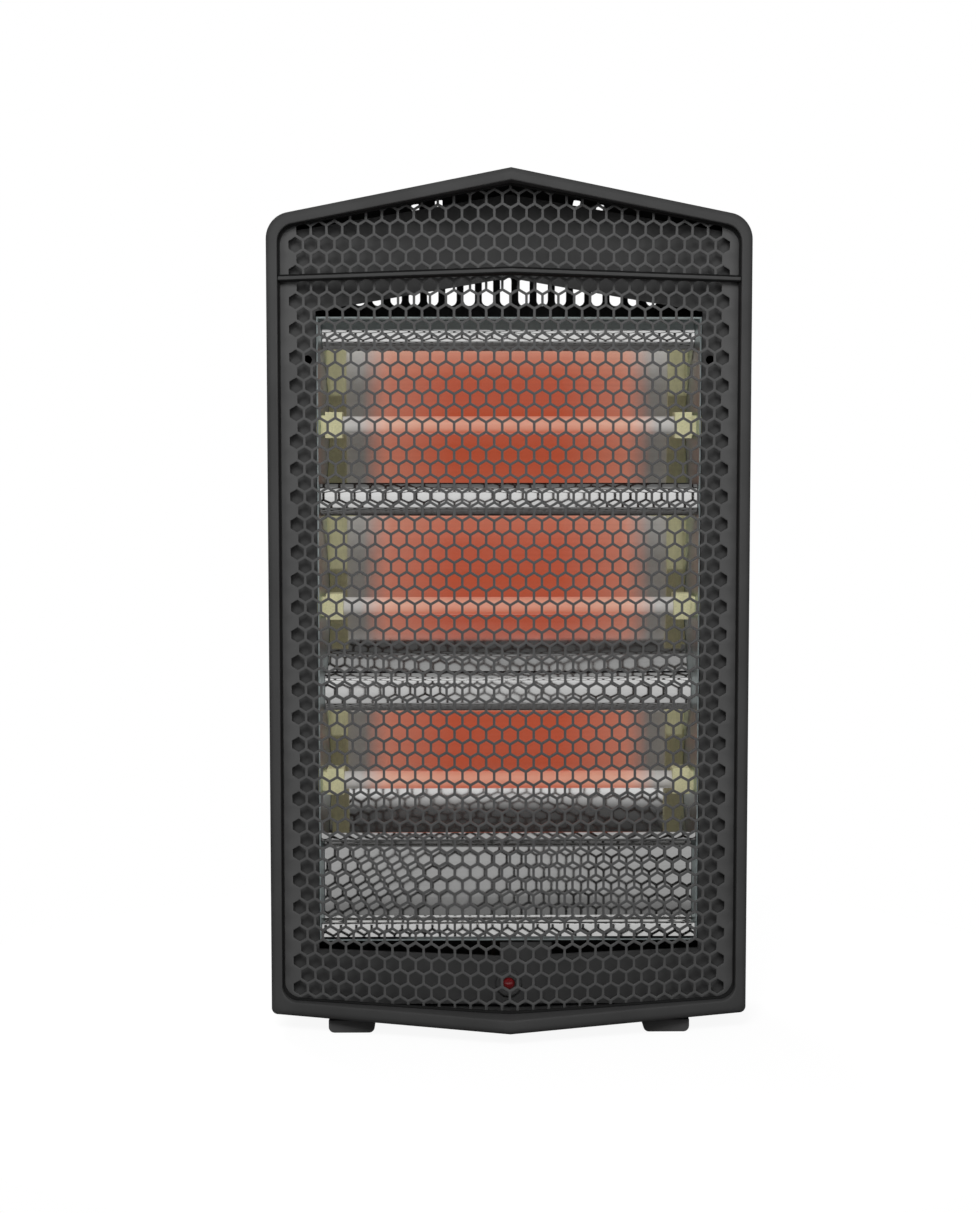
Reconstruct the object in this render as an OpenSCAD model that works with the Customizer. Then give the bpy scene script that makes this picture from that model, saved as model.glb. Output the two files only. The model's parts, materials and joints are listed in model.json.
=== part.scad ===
// Quartz tower heater: gabled front frame with a folded hexagon grille,
// three quartz tubes in front of parabolic reflectors, moulded rear housing.
// Millimetres, +Z up, the front faces -Y, the floor is Z = 0.

/* [Body] */
// Width over the front frame
body_w = 320; // [306:1:340]
// Height of the frame's upper corners above the floor
eave_z = 544; // [534:1:580]
// Rise of the gable from its corners to its peak
gable_rise = 27; // [20:1:32]
// Height of the body's underside above the floor
base_z = 12.4; // [11:0.2:16]
// How far the frame's lower edge dips at its middle
base_dip = 3.6; // [1:0.2:4.4]
// Overall depth, from the front ridge to the heels of the feet
depth = 200; // [196:1:230]
// How far the front ridge stands ahead of the frame's sides
prow = 40; // [34:1:44]
// Depth of the frame's skirt behind its side edges
skirt_d = 20; // [18:1:26]
// Depth of the rear housing
housing_d = 100; // [94:1:106]
// Wall of the rear housing
wall = 2.5; // [2:0.1:3]

/* [Front frame] */
// Width of the border at the sides
border_side = 9; // [8:0.1:10]
// Width of the border along the gable
border_top = 9.5; // [9:0.5:13]
// Width of the border along the bottom
border_base = 11.5; // [9:0.5:13]
// Part of the border taken by the raised bead
bead_share = 0.76; // [0.6:0.02:0.78]
// Thickness of the lip that holds the sheet, at the foot of the groove
lip_t = 1.5; // [1.2:0.1:2]
// Wall of the frame's skirt at the sides
skirt_wall = 3; // [2.4:0.1:3.4]
// Outer radius of the upper corners
corner_r = 17; // [12:1:22]
// Outer radius of the lower corners
foot_corner_r = 4; // [3:0.5:6]
// Inner radius of the frame's opening
inner_r = 11; // [8:1:14]

/* [Grille] */
// Hexagon pitch, centre to centre along a row
hex_pitch = 16; // [14:0.5:24]
// Web between two hexagons
hex_web = 2.5; // [1.8:0.1:3.5]
// Thickness of the perforated sheet
sheet_t = 1.2; // [0.8:0.1:1.6]
// How far the sheet's fold stands ahead of its side edges
sheet_rise = 28; // [24:1:32]
// How far the sheet's side edges sit behind the frame's side edges
sheet_set = 5.2; // [4.8:0.1:6.5]
// Plain margin outside the outermost whole hexagons
sheet_margin = 6; // [4:0.5:12]
// Height of the cross rail's ends above the floor
rail_z = 503.6; // [485:1:512]
// Rise of the cross rail to its middle
rail_rise = 2.5; // [0:0.5:6]
// Height of the cross rail's section
rail_h = 4.6; // [4:0.1:7]
// How far the rail sits behind the frame's front
rail_set = 2.2; // [1:0.2:3]

/* [Inner mask] */
// How far the mask sits behind the frame's side edges
mask_set = 12; // [11:0.5:13]
// Thickness of the mask
mask_t = 2; // [1.5:0.1:2.4]
// Height of the window's lower edge
window_z = 54.5; // [53:0.5:56]
// Dip of the window's lower edge at its middle
window_dip = 5.5; // [2:0.5:7]
// Height of the window's upper corners
window_top = 483; // [481:0.5:486]
// Rise of the window's upper edge to its middle
window_rise = 22; // [12:1:24]
// How far the mask's upper edge stays below the gable
mask_drop = 11.5; // [10:0.5:16]

/* [Reflectors] */
// Room between the frame's sides and the reflector box
box_room = 32; // [30:0.5:36]
// Depth of the reflector box
box_d = 46; // [44:0.5:50]
// How far each side wall leans inwards from front to back
box_taper = 5; // [2:0.5:8]
// Sheet metal of the reflector box
metal_t = 1; // [0.8:0.1:1.2]
// Height of the box's floor
box_z = 59.5; // [58:0.5:61]
// Height of the box's roof
box_top = 478.5; // [476:0.5:480]
// Height of the upper ridge between two reflectors
ridge_upper_z = 359.5; // [356:0.5:363]
// Height of the lower ridge between two reflectors
ridge_lower_z = 228; // [224:0.5:231]
// Height of the ridge above the lower deflector
ridge_base_z = 130.5; // [128:0.5:133]
// Half height of the upper ridge's flat
ridge_upper_h = 9.5; // [6:0.5:12]
// Half height of the lower ridge's flat
ridge_lower_h = 12; // [8:0.5:14]
// Half height of the lowest ridge's flat
ridge_base_h = 3; // [2:0.5:5]
// Height of the flat lip under the box's roof
roof_lip = 17; // [14:0.5:18]
// Focal length of the parabolic reflectors
focal = 28; // [27:0.5:29]
// How far a reflector's focus lies ahead of the tube's axis
focus_ahead = 2; // [1:0.5:3]
// How far a reflector's focus lies below the tube's axis
focus_drop = 2; // [0:0.5:3]
// Depth of the lower deflector
deflector_d = 12; // [8:0.5:16]
// Gap between neighbouring sheets
sheet_gap = 0.3; // [0.2:0.05:0.5]

/* [Heating elements] */
// Outer diameter of a quartz tube
tube_d = 12; // [10:0.5:13]
// Wall of a quartz tube
tube_wall = 1.2; // [1:0.1:1.4]
// Height of the upper tube
tube_upper_z = 408; // [405:0.5:411]
// Height of the middle tube
tube_middle_z = 286; // [284:0.5:289]
// Height of the lower tube
tube_lower_z = 167; // [164:0.5:170]
// How far the tubes sit behind the deflector's rim
tube_back = 15; // [13:0.5:15.5]
// Side of a square ceramic end
cap_side = 17.5; // [16:0.5:18.5]
// How far the ceramic ends stand into the reflector box
cap_reach = 16.5; // [14:0.5:20]
// Ceramic left behind the end of a tube
cap_floor = 1.5; // [1.2:0.1:2.5]
// Side of the ceramic's neck in the side wall and the bracket
cap_neck = 13; // [11:0.5:14]
// How far the ceramic's neck stands out of the bracket
cap_out = 4; // [3:0.5:5]
// Unwound wire in each end of a tube
cold_end = 17.5; // [15.5:0.5:27.5]
// Turns of a heating coil
coil_turns = 16; // [10:1:18]
// Wire of a heating coil
coil_wire = 1.1; // [0.8:0.1:1.3]
// Mean radius of a heating coil
coil_r = 3; // [2.4:0.1:3.2]
// Diameter of a terminal pin
pin_d = 2.6; // [2:0.1:3]

/* [Controls] */
// Height of the control knob
knob_z = 330; // [300:1:345]
// Diameter of the control knob
knob_d = 36; // [30:1:44]
// Length of the control knob
knob_l = 17; // [14:0.5:20]
// Diameter of the switch shaft
shaft_d = 6; // [5:0.5:8]
// Side of the rotary switch
switch_side = 30; // [26:1:36]
// Depth of the rotary switch
switch_d = 22; // [18:1:26]
// Diameter of the tip-over plunger
plunger_d = 7; // [5:0.5:9]
// Drop of the tip-over plunger when the heater is lifted
plunger_travel = 8; // [5:0.5:9]
// Room above the plunger for its switch to close
plunger_over = 0.5; // [0.4:0.1:1]
// Diameter of the pilot lamp's bezel
bezel_d = 18; // [15:0.5:20]
// Diameter of the pilot lamp's lens
lens_d = 8; // [6:0.5:9]
// Height of the pilot lamp
lamp_z = 30.5; // [30:0.5:34]

/* [Handle and feet] */
// Length of the handle's grip between its posts
grip_w = 104; // [90:1:130]
// Finger room behind the handle's grip
grip_room = 26; // [22:1:28]
// Thickness of the handle's grip
grip_t = 12; // [9:0.5:13]
// Height of the handle
handle_z = 420; // [395:1:432]
// Width of a foot
foot_w = 31; // [26:1:38]
// Distance from the frame's side to the middle of a foot
foot_inset = 54; // [48:1:64]
// Radius of the feet's lower edges
foot_r = 4; // [2:0.5:5]
// How far the feet's toes sit behind the front ridge
foot_toe = 40; // [34:1:46]

/* [Hidden] */
$fn = 48;
clear = 0.3;
run_fit = 0.1;
half_w = body_w / 2;
box_half = half_w - box_room;
cap_start = box_half - cap_reach;
box_gap = 0.5;
shoulder_share = 0.7;
cap_shoulder = box_half - metal_t - shoulder_share * box_taper - box_gap;
socket_d = cap_shoulder - cap_start - cap_floor;
coil_half = cap_start - cold_end;
foot_x = half_w - foot_inset;
peak_z = eave_z + gable_rise;
y_ridge = -depth / 2;
y_heel = depth / 2;
y_side = y_ridge + prow;
y_part = y_side + skirt_d;
y_back = y_part + housing_d;
y_sheet = y_side + sheet_set;
sheet_tuck = 5.5;
sheet_half = half_w - sheet_tuck;
top_cut = 0.55 * corner_r;
base_cut = 0.3 * inner_r;
mask_cut = 0.75 * inner_r;
mask_nip = 5;
mask_hole_d = 6;
mask_hole = [133.7, 451];
y_mask = y_side + mask_set;
y_box = y_mask + mask_t + box_gap;
fold_set = 1.5;
y_fold = y_box + fold_set;
y_tube = y_fold + tube_back;
shield_gap = 8;
y_shield = y_box + box_d + shield_gap;
corner_steps = 6;
bead_steps = 4;
bead_out = 0.5;
bead_in = 0.12;
skirt_share = skirt_wall / border_side;
gable_tilt = atan(gable_rise / half_w);
bracket_gap = 4;
bracket_x = box_half + bracket_gap;
bracket_flange = 13;
bracket_set = 2;
end_lip = 1;
ridge_bend = 4;
ridge_lean = 1.2;
roof_bend = 7;
roof_lean = 1.9;
base_tuck = 4;
tray_rim = 4;
tray_slope = 5;
upper_span = [ridge_upper_z + ridge_upper_h, box_top - sheet_gap - roof_lip];
middle_span = [ridge_lower_z + ridge_lower_h, ridge_upper_z - ridge_upper_h];
lower_span = [ridge_base_z - base_tuck, ridge_lower_z - ridge_lower_h];
deflector_span = [box_z + metal_t + sheet_gap + end_lip, ridge_base_z - ridge_base_h];
tubes = [["upper", tube_upper_z], ["middle", tube_middle_z], ["lower", tube_lower_z]];
shield_half = bracket_x + bracket_flange + metal_t;
shield_over = 40;
shield_z = [tube_lower_z - shield_over, tube_upper_z + shield_over];
boss_inset = 22;
boss_x = box_half - boss_inset;
boss_d = 10;
boss_edge = 14;
boss_z = [shield_z[0] + boss_edge, shield_z[1] - boss_edge];
screw_d = 3.6;
screw_head_d = 7;
screw_head_t = 2.4;
screw_clear = 0.2;
foot_screw_bite = 7;
shield_screw_l = 12;
handle_screw_bite = 11;
foot_screw_y = [16, 58];
slot_pitch = 13;
slot_w = 8;
vent_edge = 12;
vent_margin = 8;
vent_h = 21.5;
inlet_z = 66;
inlet_h = 48;
inlet_n = 5;
roof_x = 47;
roof_pitch = 16;
roof_n = 2;
roof_w = 5;
roof_l = 32;
roof_set = 24;
tip_x = 0;
tip_set = 42;
tip_y = y_part + tip_set;
guide_h = 8;
collar_t = 3;
collar_lip = 2.5;
collar_d = plunger_d + 2 * collar_lip;
floor_z = base_z + wall;
collar_z = floor_z + guide_h + plunger_travel + 2 * clear;
plunger_neck = 8;
plunger_top = collar_z + collar_t + plunger_neck;
switch_leg = 3;
switch_w = 10;
tip_switch_h = 12;
gland_inset = 60;
gland_x = half_w - gland_inset;
gland_z = 44;
gland_d = 13;
gland_bore = 7;
gland_lip = 2.5;
gland_t = 4;
gland_stem = 3;
rest = [-6, 29];
bezel_t = 2.5;
sleeve_wall = 1.5;
sleeve_l = 8;
sleeve_end = 2;
lens_seat = 5;
tab_t = 0.8;
pin_tab_l = 10;
pin_tab_w = 6.4;
pin_out = 3;
switch_tab_w = 6;
switch_tab_l = 7;
switch_seat = 5;
cutout_d = 16;
cutout_t = 7;
cutout_drop = 30;
ear_w = 24;
ear_h = 6;
cutout_tab_w = 4;
cutout_tab_l = 8;
cutout_tab_x = 4.5;
knob_bar_w = 7;
knob_bar_d = 8;
knob_bar_edge = 3;
knob_step = 2;
knob_cap = 6;
post_flange = 4;
roof_cut = 40;

// Front surface of the frame and of the grille sheet at a distance from the middle
function front_y(x) = y_ridge + prow * abs(x) / half_w;
function sheet_y(x) = y_sheet - sheet_rise * (1 - abs(x) / sheet_half);
function unit(v) = v / norm(v);
function bearing(v) = atan2(v[1], v[0]);

// Arc of a corner at p between its neighbours a and b
function fillet(a, p, b, r) =
  let (
    u = unit(a - p),
    v = unit(b - p),
    half = acos(u * v) / 2,
    c = p + unit(u + v) * r / sin(half),
    from = bearing(p + u * r / tan(half) - c),
    sweep = (bearing(p + v * r / tan(half) - c) - from + 540) % 360 - 180
  )
  [
    for (k = [0 : corner_steps])
      let (turn = from + sweep * k / corner_steps)
        c + r * [cos(turn), sin(turn)]
  ];

// Gabled outline seen from the front, from the lower middle round to the right and back
function gable_outline(inset_side, inset_top, inset_base, dip, r_top, r_base) =
  let (
    hw = half_w - inset_side,
    slope = gable_rise / half_w,
    peak = [0, peak_z - inset_top / cos(gable_tilt)],
    eave = [hw, peak[1] - slope * hw],
    toe = [hw, base_z + inset_base],
    middle = [0, base_z + inset_base - dip],
    right = concat(
      [middle],
      fillet(middle, toe, eave, r_base),
      fillet(toe, eave, peak, r_top),
      [peak]
    ),
    last = len(right) - 2
  )
  concat(right, [for (k = [last : -1 : 1]) [-right[k][0], right[k][1]]]);

// Triangles that close a stack of equal rings, either as a ring or with two caps
function wrap_faces(rows, n, closed) = concat(
  [
    for (i = [0 : closed ? rows - 1 : rows - 2], j = [0 : n - 1], half = [0, 1])
      let (
        a = i * n + j,
        b = i * n + (j + 1) % n,
        c = ((i + 1) % rows) * n + (j + 1) % n,
        d = ((i + 1) % rows) * n + j
      )
      half == 0 ? [a, b, c] : [a, c, d]
  ],
  closed ? [] : [
    for (j = [1 : n - 2], end = [0, 1])
      end == 0 ? [0, j + 1, j] : [(rows - 1) * n, (rows - 1) * n + j, (rows - 1) * n + j + 1]
  ]
);

module stacked(rings, closed = false) {
  polyhedron(
    points = [for (ring = rings) each ring],
    faces = wrap_faces(len(rings), len(rings[0]), closed)
  );
}

// Mirror image for the left hand side
module left_hand() {
  mirror([1, 0, 0])
    children();
}

// Extrudes an X-Z profile forwards from a plane, or a Y-Z profile across the width
module from_front(y, t) {
  translate([0, y + t, 0])
    rotate([90, 0, 0])
      linear_extrude(t)
        children();
}

module across(x, w) {
  translate([x, 0, 0])
    rotate([90, 0, 90])
      linear_extrude(w)
        children();
}

module bar_along_y(d, y0, y1) {
  translate([0, y0, 0])
    rotate([-90, 0, 0])
      cylinder(d = d, h = y1 - y0);
}

module bar_along_x(d, x0, x1) {
  translate([x0, 0, 0])
    rotate([0, 90, 0])
      cylinder(d = d, h = x1 - x0);
}

module rounded_slot(x, z0, z1, w) {
  translate([x - w / 2, z0 + w / 2])
    square([w, z1 - z0 - w]);
  for (z = [z0 + w / 2, z1 - w / 2])
    translate([x, z])
      circle(d = w);
}

// One leaf of the sheet, flat, with whole and cut hexagons up to its margin
module grille_leaf() {
  fold_angle = atan(sheet_rise / sheet_half);
  leaf_w = sheet_half / cos(fold_angle);
  row_pitch = hex_pitch * sqrt(3) / 2;
  hex_r = (hex_pitch - hex_web) / sqrt(3);
  base = base_z + border_base / 2;
  top = peak_z - border_top / 2;
  slope = gable_rise / half_w * cos(fold_angle);
  last = leaf_w - sheet_margin - hex_r;
  rows = ceil((top - base) / row_pitch / 2);
  mid = (base + top) / 2;
  eave = top - slope * leaf_w;
  keep = hex_r + hex_web;
  translate([0, sheet_y(0), 0])
    rotate([0, 0, fold_angle])
      from_front(0, sheet_t)
        difference() {
          polygon([
            [0, base],
            [leaf_w - base_cut, base],
            [leaf_w, base + base_cut],
            [leaf_w, eave - top_cut],
            [leaf_w - top_cut, eave + slope * top_cut],
            [0, top]
          ]);
          for (row = [-rows : rows])
            let (z = mid + row * row_pitch)
              for (u = [row % 2 == 0 ? 0 : hex_pitch / 2 : hex_pitch : last])
                if (z > base + keep && z + keep < min(top - slope * u, eave + leaf_w - top_cut - u))
                  translate([u, z])
                    rotate(30)
                      circle(r = hex_r, $fn = 6);
        }
}

module grille() {
  color("#2b2b2c") {
    grille_leaf();
    left_hand()
      grille_leaf();
  }
}

// The frame's section: skirt, bead rounded outwards, deep groove and the lip that holds the sheet
function frame_section(o, i) =
  let (
    at = function(share) o + (i - o) * share,
    bead_d = border_side * bead_share * bead_out,
    bead_r = border_side * bead_share * bead_in,
    point = function(share, back) let (p = at(share)) [p[0], front_y(p[0]) + back, p[1]],
    under = function(share, over) let (p = at(share)) [p[0], sheet_y(p[0]) - clear / 2 - over, p[1]],
    rear = function(share) let (p = at(share)) [p[0], y_part, p[1]]
  )
  concat(
    [rear(0)],
    [
      for (k = [0 : bead_steps])
        let (turn = 90 * k / bead_steps)
          point(bead_share * bead_out * (1 - cos(turn)), bead_d * (1 - sin(turn)))
    ],
    [for (turn = [0, 45, 90]) point(bead_share * (1 - bead_in * (1 - sin(turn))), bead_r * (1 - cos(turn)))],
    [under(bead_share, lip_t), under(1, lip_t), under(1, 0), under(skirt_share, 0), rear(skirt_share)]
  );

module front_frame() {
  outer = gable_outline(0, 0, 0, base_dip, corner_r, foot_corner_r);
  inner = gable_outline(border_side, border_top, border_base, base_dip, inner_r, inner_r);
  color("#3a3a3b")
    stacked([for (k = [0 : len(outer) - 1]) frame_section(outer[k], inner[k])], closed = true);
}

// The rail's section at x: rounded at the front, square against the sheet
function rail_section(x) =
  let (
    r = rail_h / 3,
    z = rail_z + rail_rise * (1 - abs(x) / half_w),
    f = front_y(x) + rail_set + r,
    b = sheet_y(x) - lip_t - clear,
    nose = function(turn, rise) [x, f - r * cos(turn), z + rise * (rail_h / 2 - r) + r * sin(turn)]
  )
  concat(
    [[x, b, z - rail_h / 2]],
    [for (turn = [-90 : 30 : 0]) nose(turn, -1)],
    [for (turn = [0 : 30 : 90]) nose(turn, 1)],
    [[x, b, z + rail_h / 2]]
  );

module cross_rail() {
  end = half_w - border_side * bead_share - clear;
  color("#444445")
    stacked([for (x = [end, 0, -end]) rail_section(x)]);
}

// Flat black panel behind the sheet with the gabled window and a tab below the box's floor
module inner_mask() {
  edge = half_w - skirt_wall - clear;
  base = base_z + skirt_share * border_base + clear;
  slope = gable_rise / half_w;
  top = peak_z - mask_drop;
  shoulder = top - slope * edge;
  window = box_half + clear;
  sill = function(x) window_z - window_dip * (1 - abs(x) / window);
  color("#1c1c1d")
    from_front(y_mask, mask_t)
      difference() {
        polygon([
          [mask_cut - edge, base],
          [edge - mask_cut, base],
          [edge, base + mask_cut],
          [edge, shoulder - mask_nip],
          [edge - mask_nip, shoulder + slope * mask_nip],
          [0, top],
          [mask_nip - edge, shoulder + slope * mask_nip],
          [-edge, shoulder - mask_nip],
          [-edge, base + mask_cut]
        ]);
        polygon([
          [-window, window_z],
          [rest[0], sill(rest[0])],
          [rest[0], box_z - end_lip],
          [rest[1], box_z - end_lip],
          [rest[1], sill(rest[1])],
          [window, window_z],
          [window, window_top],
          [0, window_top + window_rise],
          [-window, window_top]
        ]);
        translate([0, lamp_z])
          circle(d = lens_d + 2 * sleeve_wall + 2 * clear);
        for (side = [-1, 1])
          translate([side * mask_hole[0], mask_hole[1]])
            circle(d = mask_hole_d);
      }
}

// Ring on the mask's face with a sleeve through it that holds the lens
module pilot_bezel() {
  color("#262627")
    translate([0, 0, lamp_z])
      difference() {
        union() {
          bar_along_y(bezel_d, y_mask - bezel_t, y_mask);
          bar_along_y(lens_d + 2 * sleeve_wall, y_mask - bezel_t / 2, y_mask + mask_t + sleeve_l);
        }
        bar_along_y(lens_d + 2 * run_fit, y_mask - bezel_t - 1, y_mask + mask_t + sleeve_l - sleeve_end);
      }
}

// Domed red lens pushed into the bezel from the front
module pilot_lens() {
  color("#c02318")
    translate([0, y_mask + mask_t + lens_seat, lamp_z])
      rotate([90, 0, 0])
        rotate_extrude()
          intersection() {
            translate([0, mask_t + lens_seat])
              circle(d = lens_d);
            square([lens_d, lens_d + mask_t + lens_seat]);
          }
  color("#c02318")
    translate([0, 0, lamp_z])
      bar_along_y(lens_d, y_mask, y_mask + mask_t + lens_seat);
}

// Depth of a reflector at a height: a parabola whose focus lies beside the tube
function dish_y(z, tube) = y_tube - focus_ahead + focal - pow(z - tube + focus_drop, 2) / (4 * focal);

// Y-Z section of a reflector with the flat ridge above it, whose top leans back
function dish_line(span, tube, lip, bend, lean, back) =
  let (steps = 20, ridge = dish_y(span[1], tube) + back)
  concat(
    [
      for (k = [0 : steps])
        let (z = span[0] + (span[1] - span[0]) * k / steps)
          [dish_y(z, tube) + back, z]
    ],
    [[ridge, span[1] + lip - bend], [ridge + lean, span[1] + lip]]
  );

// Y-Z section of the deflector: a flat panel set back behind its rims
function tray_line(span, lip, back) = [
  [y_fold + back, span[0]],
  [y_fold + back, span[0] + tray_rim],
  [y_fold + deflector_d + back, span[0] + tray_rim + tray_slope],
  [y_fold + deflector_d + back, span[1] - tray_slope],
  [y_fold + back, span[1]],
  [y_fold + back, span[1] + lip]
];

module bright_sheet(front, back) {
  reach = box_half - metal_t - sheet_gap;
  color("#d9d9da")
    intersection() {
      across(-half_w, body_w)
        polygon(concat(front, [for (k = [len(back) - 1 : -1 : 0]) back[k]]));
      translate([0, 0, box_z])
        linear_extrude(box_top - box_z)
          polygon([
            [-reach, y_box],
            [reach, y_box],
            [reach - box_taper, y_box + box_d],
            [-reach + box_taper, y_box + box_d]
          ]);
    }
}

module dish(span, tube, lip, bend = ridge_bend, lean = ridge_lean) {
  bright_sheet(dish_line(span, tube, lip, bend, lean, 0), dish_line(span, tube, lip, bend, lean, metal_t));
}

// A ridge's flat belongs to the sheet below it, up to the seam with the sheet above
function ridge_lip(half) = 2 * half - sheet_gap;

module reflector_upper() {
  dish(upper_span, tube_upper_z, roof_lip, roof_bend, roof_lean);
}

module reflector_middle() {
  dish(middle_span, tube_middle_z, ridge_lip(ridge_upper_h));
}

module reflector_lower() {
  dish(lower_span, tube_lower_z, ridge_lip(ridge_lower_h));
}

module lower_deflector() {
  lip = ridge_lip(ridge_base_h);
  bright_sheet(tray_line(deflector_span, lip, 0), tray_line(deflector_span, lip, metal_t));
}

// Side wall of the box with square holes for the ceramic ends
module reflector_side() {
  hole = cap_neck + 2 * clear;
  color("#cfcfd0")
    difference() {
      translate([0, 0, box_z + metal_t])
        linear_extrude(box_top - box_z - metal_t)
          polygon([
            [box_half - metal_t, y_box],
            [box_half, y_box],
            [box_half - box_taper, y_box + box_d],
            [box_half - box_taper - metal_t, y_box + box_d]
          ]);
      for (t = tubes)
        translate([box_half - box_taper - 4, y_tube - hole / 2, t[1] - hole / 2])
          cube([box_taper + 8, hole, hole]);
    }
}

module reflector_side_right() {
  reflector_side();
}

module reflector_side_left() {
  left_hand()
    reflector_side();
}

// Floor and roof of the box, closing the side walls
module box_plate(z) {
  color("#cfcfd0")
    translate([0, 0, z])
      linear_extrude(metal_t)
        polygon([
          [-box_half, y_box],
          [box_half, y_box],
          [box_half - box_taper, y_box + box_d],
          [-box_half + box_taper, y_box + box_d]
        ]);
}

module reflector_floor() {
  box_plate(box_z);
}

module reflector_roof() {
  box_plate(box_top);
}

// Steel sheet that carries the tube brackets and keeps heat off the housing
module heat_shield() {
  color("#9a9a9c")
    from_front(y_shield, metal_t)
      difference() {
        translate([-shield_half, shield_z[0]])
          square([2 * shield_half, shield_z[1] - shield_z[0]]);
        for (x = [-boss_x, boss_x], z = boss_z)
          translate([x, z])
            circle(d = screw_d + 2 * screw_clear);
      }
}

module quartz_tube(z) {
  half = cap_start + socket_d - clear;
  color("#e8d8d2")
    translate([0, y_tube, z])
      difference() {
        bar_along_x(tube_d, -half, half);
        bar_along_x(tube_d - 2 * tube_wall, -half - 1, half + 1);
      }
}

// Helix along X whose ends run in to the axis and on to the terminal pins
coil_rings = 8;
coil_sides = 6;
coil_steps = coil_turns * coil_rings;
coil_run_in = 2 * coil_rings;
coil_end = coil_half + 2 * coil_wire;

function coil_point(k) =
  let (
    s = k / coil_steps,
    fade = min(1, k / coil_run_in, (coil_steps - k) / coil_run_in),
    turn = 360 * k / coil_rings
  )
  [coil_half * (2 * s - 1), coil_r * fade * cos(turn), coil_r * fade * sin(turn)];

coil_path = concat(
  [[-coil_end, 0, 0]],
  [for (k = [0 : coil_steps]) coil_point(k)],
  [[coil_end, 0, 0]]
);

function coil_ring(k) =
  let (
    last = len(coil_path) - 1,
    along = k == 0 || k == last ? [1, 0, 0] : unit(coil_path[k + 1] - coil_path[k - 1]),
    aside = unit(cross(along, [0, sin(360 * k / coil_rings), cos(360 * k / coil_rings)])),
    up = cross(aside, along)
  )
  [
    for (j = [0 : coil_sides - 1])
      let (turn = -360 * j / coil_sides)
        coil_path[k] + coil_wire / 2 * (cos(turn) * up + sin(turn) * aside)
  ];

coil_gap = min([
  for (i = [0 : len(coil_path) - 1], j = [i + coil_rings / 2 : len(coil_path) - 1])
    norm(coil_path[i] - coil_path[j])
]) - coil_wire;
echo(least_gap_of_the_coil_to_itself = coil_gap);

module heating_coil(z) {
  color("#d8763c")
    translate([0, y_tube, z])
      stacked([for (k = [0 : len(coil_path) - 1]) coil_ring(k)]);
}

// Square ceramic with a socket for the tube, a pin hole and a neck through the side wall and the bracket
module ceramic_end(z) {
  neck_end = bracket_x + metal_t + cap_out;
  color("#e9e4c8")
    translate([0, y_tube, z])
      difference() {
        union() {
          translate([cap_start, -cap_side / 2, -cap_side / 2])
            cube([cap_shoulder - cap_start, cap_side, cap_side]);
          translate([cap_start, -cap_neck / 2, -cap_neck / 2])
            cube([neck_end - cap_start, cap_neck, cap_neck]);
        }
        bar_along_x(tube_d + 2 * run_fit, cap_start - 1, cap_start + socket_d);
        bar_along_x(pin_d + 2 * run_fit, cap_start, neck_end + 1);
      }
}

// Terminal pins that run from the coils out through the ceramics to flat tabs
module terminals() {
  out = bracket_x + metal_t + cap_out;
  color("#b9b9bb")
    for (t = tubes)
      translate([0, y_tube, t[1]]) {
        bar_along_x(pin_d, coil_end + clear / 2, out + pin_out);
        translate([out + 1, -tab_t / 2, -pin_tab_w / 2])
          cube([pin_tab_l, tab_t, pin_tab_w]);
      }
}

module terminals_right() {
  terminals();
}

module terminals_left() {
  left_hand()
    terminals();
}

// Steel strip with square holes for the ceramics and a flange on the shield
module tube_bracket() {
  hole = cap_neck + 2 * run_fit;
  color("#8d8d90")
    difference() {
      union() {
        translate([bracket_x, y_box + bracket_set, shield_z[0]])
          cube([metal_t, y_shield - y_box - bracket_set, shield_z[1] - shield_z[0]]);
        translate([bracket_x, y_shield - metal_t, shield_z[0]])
          cube([bracket_flange, metal_t, shield_z[1] - shield_z[0]]);
      }
      for (t = tubes)
        translate([bracket_x - 1, y_tube - hole / 2, t[1] - hole / 2])
          cube([metal_t + 2, hole, hole]);
    }
}

module tube_bracket_right() {
  tube_bracket();
}

module tube_bracket_left() {
  left_hand()
    tube_bracket();
}

// Housing outline at a depth behind the parting plane
function housing_ring(y, inset, base_inset) = [
  for (p = gable_outline(inset, inset, base_inset, 0, corner_r, foot_corner_r)) [p[0], y, p[1]]
];

// Depth, inset all round and inset at the base of the housing's stations
back_inset = 21;
shoulder_d = 8;
housing_flat = 0.75 * housing_d;
housing_stations = [
  [0, 0, 0],
  [0.35 * housing_d, 2, 0],
  [housing_flat, shoulder_d, 0],
  [housing_d - shoulder_d, back_inset - shoulder_d, 2],
  [housing_d, back_inset, shoulder_d]
];

module housing_shell() {
  last = len(housing_stations) - 1;
  inside = [
    for (k = [last : -1 : 0])
      let (s = housing_stations[k], skin = k == last ? wall : k == last - 1 ? wall / 2 : 0)
        housing_ring(y_part + s[0] - skin, s[1] + wall, s[2] + wall)
  ];
  outside = [for (s = housing_stations) housing_ring(y_part + s[0], s[1], s[2])];
  stacked(concat(inside, outside));
}

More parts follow.
